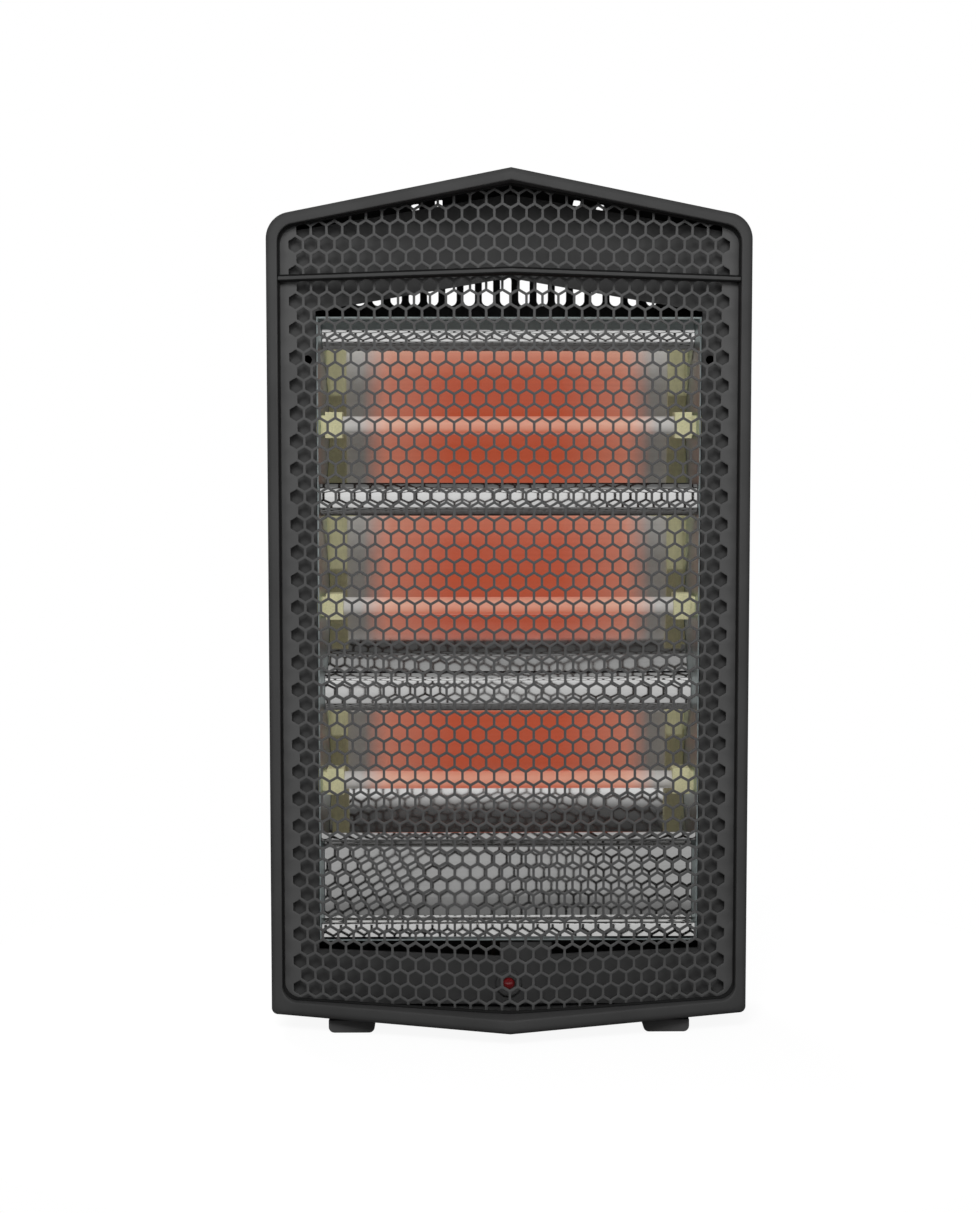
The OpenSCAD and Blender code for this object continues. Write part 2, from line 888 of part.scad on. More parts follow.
module rear_housing() {
  vent_top = eave_z - back_inset - vent_margin;
  vent_n = floor((half_w - back_inset - 2 * vent_edge) / slot_pitch);
  color("#333334")
    difference() {
      union() {
        housing_shell();
        for (x = [-boss_x, boss_x], z = boss_z)
          translate([x, 0, z])
            bar_along_y(boss_d, y_shield + metal_t, y_back - wall / 2);
        translate([tip_x, tip_y, base_z + wall / 2])
          cylinder(d = collar_d, h = wall / 2 + guide_h);
      }
      from_front(y_back - 2 * wall, 3 * wall)
        for (k = [-vent_n : vent_n])
          rounded_slot(k * slot_pitch, vent_top - vent_h, vent_top, slot_w);
      from_front(y_back - 2 * wall, 3 * wall)
        for (k = [-inlet_n : inlet_n])
          rounded_slot(k * slot_pitch, inlet_z, inlet_z + inlet_h, slot_w);
      translate([0, 0, eave_z - roof_cut])
        linear_extrude(gable_rise + 2 * roof_cut)
          for (k = [1 : roof_n], side = [-1, 1])
            let (y = y_part + roof_set)
              rounded_slot(side * (roof_x + (k - 1) * roof_pitch), y, y + roof_l, roof_w);
      for (x = [-boss_x, boss_x], z = boss_z)
        translate([x, 0, z])
          bar_along_y(screw_d + 2 * run_fit, y_shield, y_back - 2 * wall);
      translate([0, 0, knob_z])
        bar_along_y(shaft_d + 4 * run_fit, y_back - 2 * wall, y_back + 1);
      translate([tip_x, tip_y, base_z - 1])
        cylinder(d = plunger_d + 2 * run_fit, h = wall + guide_h + 2);
      translate([gland_x, 0, gland_z])
        bar_along_y(gland_d + 2 * run_fit, y_back - 2 * wall, y_back + 1);
      for (x = handle_posts())
        translate([x, 0, handle_z])
          bar_along_y(screw_d + 2 * screw_clear, y_back - 2 * wall, y_back + 1);
      for (p = foot_screw_points())
        translate([p[0], p[1], base_z - 1])
          cylinder(d = screw_d + 2 * screw_clear, h = wall + 2);
    }
}

function handle_posts() = [-(grip_w + grip_t) / 2, (grip_w + grip_t) / 2];
function foot_screw_points() = [for (x = [-foot_x, foot_x], y = foot_screw_y) [x, y_part + y]];

// Bow handle on the back with a round grip and two posts
module carry_handle() {
  post_x = handle_posts()[1];
  grip_y = y_back + grip_room + grip_t / 2;
  color("#2c2c2d")
    difference() {
      union() {
        translate([0, grip_y, handle_z])
          bar_along_x(grip_t, -post_x, post_x);
        for (x = [-post_x, post_x])
          translate([x, 0, handle_z]) {
            bar_along_y(grip_t, y_back, grip_y);
            translate([0, grip_y, 0])
              sphere(d = grip_t);
            bar_along_y(grip_t + 2 * post_flange, y_back, y_back + post_flange);
          }
      }
      for (x = [-post_x, post_x])
        translate([x, 0, handle_z])
          bar_along_y(screw_d + 2 * run_fit, y_back - 1, y_back + handle_screw_bite + wall);
    }
}

// Round knob with a raised finger bar, bored for the shaft
module control_knob() {
  face = y_back + clear + knob_l;
  color("#242425")
    translate([0, 0, knob_z])
      difference() {
        union() {
          bar_along_y(knob_d, y_back + clear, face - knob_bar_d);
          bar_along_y(knob_d - 2 * knob_step, face - knob_bar_d - 1, face - knob_bar_d + 1);
          translate([-knob_bar_w / 2, face - knob_bar_d - 1, -knob_d / 2 + knob_bar_edge])
            cube([knob_bar_w, knob_bar_d + 1, knob_d - 2 * knob_bar_edge]);
        }
        bar_along_y(shaft_d + 2 * run_fit, y_back - 1, y_back + knob_l - knob_cap);
      }
}

module switch_shaft() {
  color("#c9b26a")
    translate([0, 0, knob_z])
      bar_along_y(shaft_d, y_back - wall - switch_d + switch_seat + 1, y_back + knob_l - knob_cap - clear);
}

// Switch block seated on the inside of the back wall, with its row of tabs
module rotary_switch() {
  front = y_back - wall - switch_d;
  color("#5a5046")
    translate([0, 0, knob_z])
      difference() {
        union() {
          translate([-switch_side / 2, front, -switch_side / 2])
            cube([switch_side, switch_d, switch_side]);
          for (x = [-1, 0, 1])
            translate([x * switch_side / 3 - switch_tab_w / 2, front + 1 - switch_tab_l, -tab_t / 2])
              cube([switch_tab_w, switch_tab_l, tab_t]);
        }
        bar_along_y(shaft_d + 2 * run_fit, front + switch_seat, y_back);
      }
}

// Disc thermostat on the back of the shield
module thermal_cutout() {
  seat = y_shield + metal_t;
  color("#77706a")
    translate([0, 0, (shield_z[0] + shield_z[1]) / 2 - cutout_drop]) {
      bar_along_y(cutout_d, seat, seat + cutout_t);
      translate([-ear_w / 2, seat, -ear_h / 2])
        cube([ear_w, metal_t, ear_h]);
      for (x = [-cutout_tab_x, cutout_tab_x])
        translate([x - cutout_tab_w / 2, seat + cutout_t - 1, -tab_t / 2])
          cube([cutout_tab_w, cutout_tab_l, tab_t]);
    }
}

// Snap switch on two legs, standing over the plunger
module tip_switch() {
  gap = collar_d / 2 + 2;
  seat = plunger_top + plunger_over + clear;
  color("#3b3f4a")
    translate([tip_x, tip_y - switch_w / 2, 0]) {
      translate([-gap - switch_leg, 0, seat])
        cube([2 * gap + 2 * switch_leg, switch_w, tip_switch_h]);
      for (x = [-gap - switch_leg, gap])
        translate([x, 0, floor_z])
          cube([switch_leg, switch_w, seat - floor_z + 1]);
    }
}

// Plunger that the floor holds in, with the collar that stops its drop
module tip_plunger() {
  color("#d8d4c8")
    translate([tip_x, tip_y, 0]) {
      cylinder(d = plunger_d, h = plunger_top);
      translate([0, 0, collar_z])
        cylinder(d = collar_d, h = collar_t);
    }
}

// Runner foot: rounded lower edges, a low toe under the frame and a sloped heel
module foot() {
  toe_top = base_z - base_dip - clear;
  toe_y = y_ridge + foot_toe;
  color("#2e2e2f")
    difference() {
      intersection() {
        translate([foot_x, toe_y, 0])
          rotate([90, 0, 180])
            linear_extrude(y_heel - toe_y)
              foot_section();
        across(foot_x - foot_w, 2 * foot_w)
          polygon([
            [toe_y, 0],
            [y_heel, 0],
            [y_heel, base_z / 2],
            [y_part + housing_flat, base_z],
            [y_part + clear, base_z],
            [y_part + clear, toe_top],
            [toe_y, toe_top]
          ]);
      }
      for (p = foot_screw_points())
        translate([p[0], p[1], base_z - 9])
          cylinder(d = screw_d + 2 * run_fit, h = 10);
    }
}

module foot_section() {
  translate([-foot_w / 2, foot_r])
    square([foot_w, base_z]);
  translate([-foot_w / 2 + foot_r, 0])
    square([foot_w - 2 * foot_r, base_z]);
  for (x = [-1, 1])
    translate([x * (foot_w / 2 - foot_r), foot_r])
      circle(r = foot_r);
}

module foot_right() {
  foot();
}

module foot_left() {
  left_hand()
    foot();
}

// Bush that lines the cord's way through the back wall
module cord_gland() {
  color("#1b1b1c")
    translate([gland_x, 0, gland_z])
      difference() {
        union() {
          bar_along_y(gland_d, y_back - wall - gland_stem, y_back + 1);
          bar_along_y(gland_d + 2 * gland_lip, y_back, y_back + gland_t);
        }
        bar_along_y(gland_bore, y_back - wall - gland_stem - 1, y_back + gland_t + 1);
      }
}

module screw(l) {
  translate([0, 0, -screw_head_t]) {
    cylinder(d = screw_d, h = screw_head_t + l);
    cylinder(d = screw_head_d, h = screw_head_t);
  }
}

module foot_screws() {
  color("#a9a9ab")
    for (p = foot_screw_points())
      translate([p[0], p[1], floor_z])
        rotate([180, 0, 0])
          screw(wall + foot_screw_bite);
}

module shield_screws() {
  color("#a9a9ab")
    for (x = [-boss_x, boss_x], z = boss_z)
      translate([x, y_shield, z])
        rotate([-90, 0, 0])
          screw(shield_screw_l);
}

module handle_screws() {
  color("#a9a9ab")
    for (x = handle_posts())
      translate([x, y_back - wall, handle_z])
        rotate([-90, 0, 0])
          screw(wall + handle_screw_bite);
}

grille();
front_frame();
cross_rail();
inner_mask();
pilot_bezel();
pilot_lens();
reflector_upper();
reflector_middle();
reflector_lower();
lower_deflector();
reflector_side_left();
reflector_side_right();
reflector_roof();
reflector_floor();
heat_shield();
for (t = tubes) {
  quartz_tube(t[1]);
  heating_coil(t[1]);
  ceramic_end(t[1]);
  left_hand() ceramic_end(t[1]);
}
terminals_left();
terminals_right();
tube_bracket_left();
tube_bracket_right();
rear_housing();
carry_handle();
control_knob();
switch_shaft();
rotary_switch();
thermal_cutout();
tip_switch();
tip_plunger();
foot_left();
foot_right();
cord_gland();
foot_screws();
shield_screws();
handle_screws();
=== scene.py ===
import json
from math import acos, atan, atan2, cos, hypot, pi, radians, sin, sqrt, tan

import bmesh
import bpy
from bpy.props import FloatProperty, FloatVectorProperty, IntProperty, PointerProperty
from mathutils import Matrix, Vector


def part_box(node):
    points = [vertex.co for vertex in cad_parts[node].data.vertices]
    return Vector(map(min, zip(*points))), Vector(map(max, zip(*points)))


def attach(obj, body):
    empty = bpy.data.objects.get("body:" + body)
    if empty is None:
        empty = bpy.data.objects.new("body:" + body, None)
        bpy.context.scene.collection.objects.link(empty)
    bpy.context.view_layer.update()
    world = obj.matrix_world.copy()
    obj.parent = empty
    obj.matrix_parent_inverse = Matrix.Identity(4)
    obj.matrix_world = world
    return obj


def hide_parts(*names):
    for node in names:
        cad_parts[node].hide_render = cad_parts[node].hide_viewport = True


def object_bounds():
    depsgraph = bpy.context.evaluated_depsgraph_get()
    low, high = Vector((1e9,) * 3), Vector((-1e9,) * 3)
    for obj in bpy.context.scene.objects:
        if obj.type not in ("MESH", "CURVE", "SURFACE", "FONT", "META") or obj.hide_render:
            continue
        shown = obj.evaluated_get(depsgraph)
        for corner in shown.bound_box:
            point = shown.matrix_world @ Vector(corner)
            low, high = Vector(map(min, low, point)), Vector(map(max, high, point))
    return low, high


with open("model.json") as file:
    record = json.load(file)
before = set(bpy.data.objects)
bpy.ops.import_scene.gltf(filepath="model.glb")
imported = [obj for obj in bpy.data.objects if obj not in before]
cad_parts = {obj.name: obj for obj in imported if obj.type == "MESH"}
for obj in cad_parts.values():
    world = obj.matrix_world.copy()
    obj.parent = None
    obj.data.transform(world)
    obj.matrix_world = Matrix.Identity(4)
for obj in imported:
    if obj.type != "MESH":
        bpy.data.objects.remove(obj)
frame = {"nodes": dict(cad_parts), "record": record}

bl_info = {
    "name": "Quartz tower heater",
    "version": (1, 0, 0),
    "blender": (4, 5, 0),
    "location": "3D View > Sidebar > Heater",
    "description": "Dresses the heater with its grille, mouldings, reflectors, glow and stage",
    "category": "Object",
}

CAD_LOW, CAD_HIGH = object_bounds()
NODES = frame["nodes"]
BODY = "heater_body"
ROWS = ("upper", "middle", "lower")
SIDES = ("left", "right")
UPRIGHT = Matrix.Rotation(pi / 2, 4, "X")
TOUCH = 1e-6


def number(label, default, about, **kind):
    """A number from zero upwards."""
    return FloatProperty(name=label, description=about, default=default, min=0.0, **kind)


def length(label, default, about):
    """A length in metres."""
    return number(label, default, about, precision=5, subtype="DISTANCE", unit="LENGTH")


def share(label, default, about):
    """A plain factor."""
    return number(label, default, about, subtype="FACTOR")


def angle(label, degrees, about):
    """An angle, given in degrees."""
    return FloatProperty(name=label, description=about, default=radians(degrees), subtype="ANGLE")


def power(label, default, about):
    """The power of a lamp in watts."""
    return number(label, default, about, unit="POWER")


def whole(label, default, about):
    """A whole number from one upwards."""
    return IntProperty(name=label, description=about, default=default, min=1)


def colour(label, default, about):
    """A linear colour."""
    return FloatVectorProperty(
        name=label, description=about, default=default, size=3, min=0.0, max=1.0, subtype="COLOR"
    )


class GrilleSettings(bpy.types.PropertyGroup):
    """Sizes of the perforated sheet and the rail across it."""

    pitch: length("Pitch", 0.0106, "Hexagon pitch along a row of the flat sheet")
    web: length("Web", 0.0017, "Metal between two hexagons")
    thickness: length("Thickness", 0.0012, "Thickness of the sheet")
    first_row: length("First row", 0.4247, "Height of a row that has a hexagon on the middle line")
    fold_radius: length("Fold radius", 0.010, "Softness of the fold at the middle")
    rise: length("Rise", 0.028, "How far the fold stands ahead of the side edges")
    edge: length("Edge", 0.1545, "Half width of the sheet")
    set_back: length("Set back", 0.0052, "How far the side edges sit behind the frame's side edges")
    holes: whole("Holes", 13, "Whole hexagons on each side of the middle")
    rail_height: length("Rail height", 0.0046, "Height of the rail's section")
    rail_level: length("Rail level", 0.5036, "Height of the rail's ends")
    rail_rise: length("Rail rise", 0.0025, "Rise of the rail to its middle")
    rail_set: length("Rail set", 0.0022, "How far the rail sits behind the frame's front")


class FrameSettings(bpy.types.PropertyGroup):
    """Sizes of the gabled front frame."""

    half_width: length("Half width", 0.160, "Half width over the frame")
    eave: length("Eave", 0.544, "Height of the upper corners")
    gable: length("Gable", 0.027, "Rise of the gable to its peak")
    base: length("Base", 0.0124, "Height of the underside")
    dip: length("Dip", 0.0036, "Dip of the lower edge at its middle")
    prow: length("Prow", 0.040, "How far the ridge stands ahead of the sides")
    skirt: length("Skirt", 0.020, "Depth of the skirt behind the side edges")
    border_side: length("Side border", 0.0090, "Width of the border at the sides")
    border_top: length("Top border", 0.0095, "Width of the border along the gable")
    border_base: length("Base border", 0.0115, "Width of the border along the bottom")
    bead: share("Bead", 0.86, "Part of the border taken by the bead")
    bead_out: share("Outer rounding", 0.5, "Part of the bead that rounds outwards")
    bead_in: share("Inner rounding", 0.12, "Part of the bead that rounds into the groove")
    lip: length("Lip", 0.0015, "Thickness of the lip that holds the sheet")
    skirt_wall: length("Skirt wall", 0.003, "Wall of the skirt at the sides")
    corner: length("Corner", 0.017, "Outer radius of the upper corners")
    toe_corner: length("Lower corner", 0.004, "Outer radius of the lower corners")
    inner_corner: length("Inner corner", 0.011, "Radius of the opening's corners")


class HeatSettings(bpy.types.PropertyGroup):
    """Sizes and colours of the tubes and reflectors."""

    fold: length("Fold", 0.0035, "Softness of the bend between a reflector and its ridge")
    focal: length("Focal length", 0.028, "Focal length of the parabolic reflectors")
    focus_ahead: length("Focus ahead", 0.002, "How far a focus lies ahead of its tube's axis")
    focus_drop: length("Focus drop", 0.002, "How far a focus lies below its tube's axis")
    metal: length("Metal", 0.001, "Sheet metal of the reflectors")
    turns: whole("Turns", 64, "Turns of a heating coil")
    wire: length("Wire", 0.0007, "Wire of a heating coil")
    coil_radius: length("Coil radius", 0.003, "Mean radius of a heating coil")
    glow: colour("Glow", (0.42, 0.076, 0.035), "Colour of a lit tube")
    amber: colour("Amber", (0.10, 0.035, 0.025), "Colour of the lit quartz by itself")
    glow_level: share("Glow level", 1.0, "Brightness of a lit tube")
    milk: colour("Milk", (0.56, 0.545, 0.53), "Colour of the milky quartz")
    rim: colour("Rim", (0.43, 0.150, 0.100), "Light of a tube near the ends of its wire")
    # Painted light: the paler colour of the tube's lit part on its front, where the studio light
    # falls.
    painted_front_light: colour("Warm", (0.33, 0.34, 0.27), "Colour of the lit quartz on its front")
    # Painted light: a pale glow on the tube's unlit ends, standing in for studio light they lack.
    painted_end_glow: colour("Cold", (0.102, 0.098, 0.091), "Light that the quartz leads to its ends")


class FinishSettings(bpy.types.PropertyGroup):
    """Colours of the finishes."""

    plastic: colour("Plastic", (0.051, 0.051, 0.051), "Black moulding")
    paint: colour("Paint", (0.075, 0.075, 0.075), "Black paint on the sheet")
    mask: colour("Mask", (0.050, 0.050, 0.050), "Black paint on the inner mask")
    aluminium: colour("Aluminium", (0.88, 0.88, 0.87), "Polished sheet")
    satin: colour("Satin", (0.60, 0.68, 0.68), "Mill-finish sheet")
    zinc: colour("Zinc", (0.52, 0.52, 0.53), "Zinc plate")
    ceramic: colour("Ceramic", (0.68, 0.65, 0.40), "Cream ceramic")
    lamp: colour("Lamp", (0.13, 0.010, 0.014), "Pilot lamp")
    brass: colour("Brass", (0.60, 0.46, 0.19), "Switch shaft")
    resin: colour("Resin", (0.075, 0.062, 0.052), "Switch blocks")
    white: colour("White", (0.66, 0.64, 0.58), "White moulding")
    rubber: colour("Rubber", (0.016, 0.016, 0.016), "Cord gland")


class StageSettings(bpy.types.PropertyGroup):
    """Camera and light."""

    lens: number("Lens", 62.3, "Focal length of the camera", subtype="DISTANCE_CAMERA")
    distance: length("Distance", 1.449, "Distance of the camera ahead of the middle plane")
    aside: length("Aside", 0.033, "Distance of the camera to the left of the middle")
    height: length("Height", 0.394, "Height of the camera")
    pitch: angle("Pitch", 4.37, "Tilt below the horizon")
    heading: angle("Heading", 0.815, "Turn to the right")
    key: power("Key", 19.0, "Power of the key light")
    fill: power("Fill", 5.0, "Power of the fill light")
    top: power("Top", 1.5, "Power of the top light")
    back: power("Back", 22.0, "Power of the back light")
    floor: length("Floor", 0.44, "Radius of the floor")
    ambient: share("Ambient", 0.17, "Level of the soft light from all round")


# Finishes


def scaled(base, factor):
    """A colour times a factor."""
    return tuple(factor * level for level in base)


class Tree:
    """Shader nodes of a material or world, and the few steps that build them."""

    def __init__(self, owner):
        owner.use_nodes = True
        self.nodes, self.links = owner.node_tree.nodes, owner.node_tree.links

    def feed(self, value, socket):
        """Links an output to a socket, or sets the socket to a value, which may be a grey level."""
        if isinstance(value, bpy.types.NodeSocket):
            self.links.new(value, socket)
        elif socket.type == "RGBA":
            socket.default_value = (value, value, value, 1)
        else:
            socket.default_value = value

    def add(self, kind, **values):
        """New node, each value fed to its input of that name or else set on the node itself."""
        node = self.nodes.new(kind)
        for label, value in values.items():
            if label in node.inputs:
                self.feed(value, node.inputs[label])
            else:
                setattr(node, label, value)
        return node

    def maths(self, operation, *terms):
        node = self.add("ShaderNodeMath", operation=operation)
        for term, socket in zip(terms, node.inputs):
            self.feed(term, socket)
        return node.outputs["Value"]

    def axes(self, vector):
        return self.add("ShaderNodeSeparateXYZ", Vector=vector).outputs

    def span(self, factor, low, high, start=0.3, stop=0.7):
        ends = {"From Min": start, "From Max": stop, "To Min": low, "To Max": high}
        return self.add("ShaderNodeMapRange", Value=factor, **ends).outputs["Result"]

    def ramp(self, factor, stops):
        node = self.add("ShaderNodeValToRGB", Fac=factor)
        bar = node.color_ramp
        while len(bar.elements) < len(stops):
            bar.elements.new(0.5)
        for mark, (position, value) in zip(bar.elements, stops):
            mark.position = position
            mark.color = (*value, 1.0)
        return node.outputs["Color"]

    def graded(self, value, stops):
        """Grey level that follows a value from -1 to 1."""
        greys = [((position + 1) / 2, (level, level, level)) for position, level in stops]
        return self.ramp(self.span(value, 0.0, 1.0, -1.0, 1.0), greys)

    def mix(self, factor, a, b, blend="MIX"):
        """Two colours or grey levels, mixed or multiplied."""
        node = self.add("ShaderNodeMix", data_type="RGBA", blend_type=blend, Factor=factor)
        for part, socket in zip((a, b), (i for i in node.inputs if i.type == "RGBA")):
            self.feed(part, socket)
        return next(o for o in node.outputs if o.type == "RGBA")

    def looks(self):
        """Whether the camera looks, and whether a mirror or glass does."""
        path = self.add("ShaderNodeLightPath").outputs
        mirrors = self.maths("MAXIMUM", path["Is Glossy Ray"], path["Is Transmission Ray"])
        return path["Is Camera Ray"], mirrors


class Finish(Tree):
    """One procedural material."""

    def __init__(self, name, **inputs):
        self.material = bpy.data.materials.new(name)
        super().__init__(self.material)
        self.shader = self.nodes["Principled BSDF"]
        for label, value in inputs.items():
            self.drive(label.replace("_", " "), value)
        self.place = self.add("ShaderNodeTexCoord").outputs["Object"]

    def drive(self, label, value):
        self.feed(value, self.shader.inputs[label])

    def stretched(self, scale):
        return self.add("ShaderNodeMapping", Vector=self.place, Scale=scale).outputs["Vector"]

    def noise(self, scale, detail=2.0, vector=None):
        vector = vector or self.place
        node = self.add("ShaderNodeTexNoise", Vector=vector, Scale=scale, Detail=detail)
        return node.outputs["Fac"]

    def cells(self, scale):
        return self.add("ShaderNodeTexVoronoi", Vector=self.place, Scale=scale).outputs["Distance"]

    def tinted(self, factor, base, spread):
        """Colour that varies about its base."""
        low = scaled(base, 1 - spread)
        high = tuple(min(1.0, level) for level in scaled(base, 1 + spread))
        self.drive("Base Color", self.ramp(factor, [(0.3, low), (0.7, high)]))

    def worn(self, low, high, scale, detail=3.0):
        """Roughness that wanders between two levels."""
        self.drive("Roughness", self.span(self.noise(scale, detail), low, high))

    def bump(self, height, depth, strength):
        node = self.add("ShaderNodeBump", Height=height, Distance=depth, Strength=strength)
        self.drive("Normal", node.outputs["Normal"])


def moulding(name, base, rough=0.46, grain=2200.0, depth=0.00005):
    """Satin plastic or rubber with a fine spark-eroded grain."""
    f = Finish(name, Specular_IOR_Level=0.38)
    f.tinted(f.noise(24.0, detail=4.0), base, spread=0.10)
    f.worn(rough - 0.05, rough + 0.07, scale=75.0)
    f.bump(f.noise(grain), depth, strength=0.35)
    return f.material


def paint(name, base, rough=0.36):
    """Baked paint with a slight orange peel."""
    f = Finish(name, Specular_IOR_Level=0.45)
    f.tinted(f.noise(30.0, detail=3.0), base, spread=0.08)
    f.worn(rough - 0.04, rough + 0.06, scale=120.0)
    f.bump(f.noise(650.0), depth=0.00006, strength=0.25)
    return f.material


def polished_sheet(name, base):
    """Bright rolled aluminium with faint rolling lines and a little haze."""
    f = Finish(name, Metallic=1.0)
    streak = f.noise(1.0, 4.0, f.stretched((6.0, 420.0, 420.0)))
    f.tinted(streak, base, spread=0.035)
    f.worn(0.045, 0.10, scale=22.0)
    waves = f.noise(1.0, 2.0, f.stretched((4.0, 36.0, 36.0)))
    f.bump(waves, depth=0.00025, strength=0.10)
    return f.material


def satin_sheet(name, base):
    """Mill-finish aluminium with upright rolling lines."""
    f = Finish(name, Metallic=1.0)
    streak = f.noise(1.0, 4.0, f.stretched((500.0, 500.0, 5.0)))
    f.tinted(streak, base, spread=0.06)
    f.worn(0.34, 0.46, scale=30.0)
    f.bump(streak, depth=0.00005, strength=0.2)
    return f.material


def zinc_plate(name, base):
    """Zinc plate with faint spangle."""
    f = Finish(name, Metallic=1.0)
    spangle = f.cells(160.0)
    f.tinted(spangle, base, spread=0.14)
    f.worn(0.26, 0.42, scale=90.0)
    f.bump(spangle, depth=0.00004, strength=0.15)
    return f.material


def milky_quartz(name, settings):
    """Milky quartz, amber where its wire glows. It is pale on the side away from the reflector and
    darker amber on the side towards it, painted light and shade for the studio light on its front;
    its unlit ends take a pale painted glow.
    """
    f = Finish(
        name, Roughness=0.28, Specular_IOR_Level=0.5, Coat_Weight=0.25, Coat_Roughness=0.08,
        Emission_Strength=settings.glow_level,
    )
    visible = 0.110
    front_y, rear_y = -0.0345, -0.0265
    lit, unlit = 0.72, 0.92
    axes = f.axes(f.place)
    reach = f.span(f.maths("ABSOLUTE", axes["X"]), 0.0, 1.0, 0.0, visible)
    hot, rim, painted_end_glow = settings.glow, settings.rim, settings.painted_end_glow
    # The wire's glow fades through the rim to a pale painted glow at the unlit ends.
    f.drive("Emission Color", f.ramp(reach, [(0.34, hot), (0.76, rim), (0.91, painted_end_glow)]))
    milk, amber, painted_front_light = settings.milk, settings.amber, settings.painted_front_light
    rear = f.ramp(reach, [(0.0, amber), (lit, scaled(amber, 1.8)), (unlit, scaled(milk, 0.75))])
    dull, clear = (
        f.ramp(reach, [(lit, scaled(painted_front_light, part)), (unlit, scaled(milk, part))])
        for part in (0.92, 1.08)
    )
    cloud = f.noise(1.0, 3.0, f.stretched((8.0, 300.0, 300.0)))
    # Painted light and shade: the front half takes the paler colours, the rear half the darker
    # amber.
    front = f.span(axes["Y"], 1.0, 0.0, front_y, rear_y)
    f.drive("Base Color", f.mix(front, rear, f.mix(cloud, dull, clear)))
    ripple = f.noise(1.0, 3.0, f.stretched((30.0, 500.0, 500.0)))
    f.bump(ripple, depth=0.00005, strength=0.2)
    return f.material


def hot_wire(name, base):
    """Oxidised resistance wire, glowing."""
    f = Finish(name, Metallic=0.6, Roughness=0.55, Emission_Strength=3.0)
    oxide, bright = (0.22, 0.09, 0.05), (1.0, 0.30, 0.08)
    f.tinted(f.noise(300.0), oxide, spread=0.3)
    f.drive("Emission Color", f.ramp(f.noise(40.0), [(0.2, base), (0.8, bright)]))
    return f.material


def cream_ceramic(name, base):
    """Unglazed pressed ceramic with fine specks, and a faint painted glow of its own colour that
    lightens its shaded sides.
    """
    f = Finish(name, Specular_IOR_Level=0.4, Emission_Strength=0.09)
    specks = f.noise(900.0, detail=4.0)
    # Painted light: a faint glow in the ceramic's own colour brightens its shaded sides.
    f.drive("Emission Color", f.ramp(specks, [(0.3, scaled(base, 0.9)), (0.7, base)]))
    f.tinted(specks, base, spread=0.12)
    f.worn(0.5, 0.68, scale=200.0, detail=2.0)
    f.bump(specks, depth=0.00008, strength=0.3)
    return f.material


def red_lens(name, base):
    """Clear red lens with moulded facets inside."""
    f = Finish(
        name, Roughness=0.07, Coat_Weight=0.6, Coat_Roughness=0.03, Emission_Strength=0.05, IOR=1.8
    )
    bright, deep = (0.9, 0.05, 0.02), (0.35, 0.01, 0.01)
    facets = f.cells(700.0)
    f.tinted(facets, base, spread=0.35)
    f.drive("Emission Color", f.ramp(facets, [(0.1, bright), (0.6, deep)]))
    return f.material


def turned_metal(name, base):
    """Turned rod with fine rings."""
    f = Finish(name, Metallic=1.0)
    rings = f.noise(1.0, 2.0, f.stretched((40.0, 2600.0, 40.0)))
    f.tinted(rings, base, spread=0.10)
    f.drive("Roughness", f.span(rings, 0.24, 0.38))
    return f.material


FINISHES = {}


def make_finishes(context):
    """Makes every finish once: one for each slot of the record, and a few variants of them."""
    c = context.scene.heater_finish
    heat = context.scene.heater_heat
    # Painted shade: the groove's plastic is the moulding darkened, standing in for the shadow in
    # the frame's deep groove and beside the rail.
    groove, foot = scaled(c.plastic, 0.16), scaled(c.plastic, 1.5)
    FINISHES.update(
        black_plastic=moulding("black_plastic_moulding", c.plastic),
        groove_plastic=moulding("black_plastic_painted_shade", groove, rough=0.62),
        # Painted light: the feet's plastic is the moulding lightened, making up for the shade under
        # the frame.
        foot_plastic=moulding("black_plastic_foot_painted_light", foot, rough=0.56),
        grip_plastic=moulding("black_plastic_grip", c.plastic, 0.56, 1300.0, 0.00010),
        black_paint=paint("black_paint_sheet", c.paint),
        mask_paint=paint("black_paint_mask", c.mask, rough=0.48),
        polished_aluminium=polished_sheet("polished_aluminium_sheet", c.aluminium),
        satin_aluminium=satin_sheet("satin_aluminium_sheet", c.satin),
        zinc_steel=zinc_plate("zinc_plate", c.zinc),
        quartz=milky_quartz("milky_quartz", heat),
        heating_wire=hot_wire("glowing_wire", heat.glow),
        steatite=cream_ceramic("cream_ceramic", c.ceramic),
        red_lens=red_lens("red_lens_clear", c.lamp),
        brass_shaft=turned_metal("turned_brass", c.brass),
        switch_plastic=moulding("switch_resin", c.resin, 0.40, 1800.0),
        white_plastic=moulding("white_moulding", c.white, 0.42, 1800.0),
        gland_rubber=moulding("soft_rubber", c.rubber, 0.68, 1500.0, 0.00012),
    )


# Shared modelling steps


def placed(name, data):
    """A new object of the scene: a bmesh as a mesh, a lamp or a camera."""
    if isinstance(data, bmesh.types.BMesh):
        bm, data = data, bpy.data.meshes.new(name)
        bm.to_mesh(data)
        bm.free()
    item = bpy.data.objects.new(name, data)
    bpy.context.scene.collection.objects.link(item)
    return item


def kept(name, bm, slot, nodes=(), body=BODY, finish=None, crease=35.0):
    """Turns a bmesh into a named piece that rides on a body and stands for its nodes."""
    piece = placed(name, bm)
    piece.data.shade_smooth()
    piece.data.set_sharp_from_angle(angle=radians(crease))
    for part in finish or (slot,):
        piece.data.materials.append(FINISHES[part])
    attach(piece, body)
    if nodes:
        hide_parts(*nodes)
    return piece


def outward(bm):
    """Closes doubles and points the faces outwards."""
    bmesh.ops.remove_doubles(bm, verts=bm.verts, dist=TOUCH)
    bmesh.ops.recalc_face_normals(bm, faces=bm.faces)


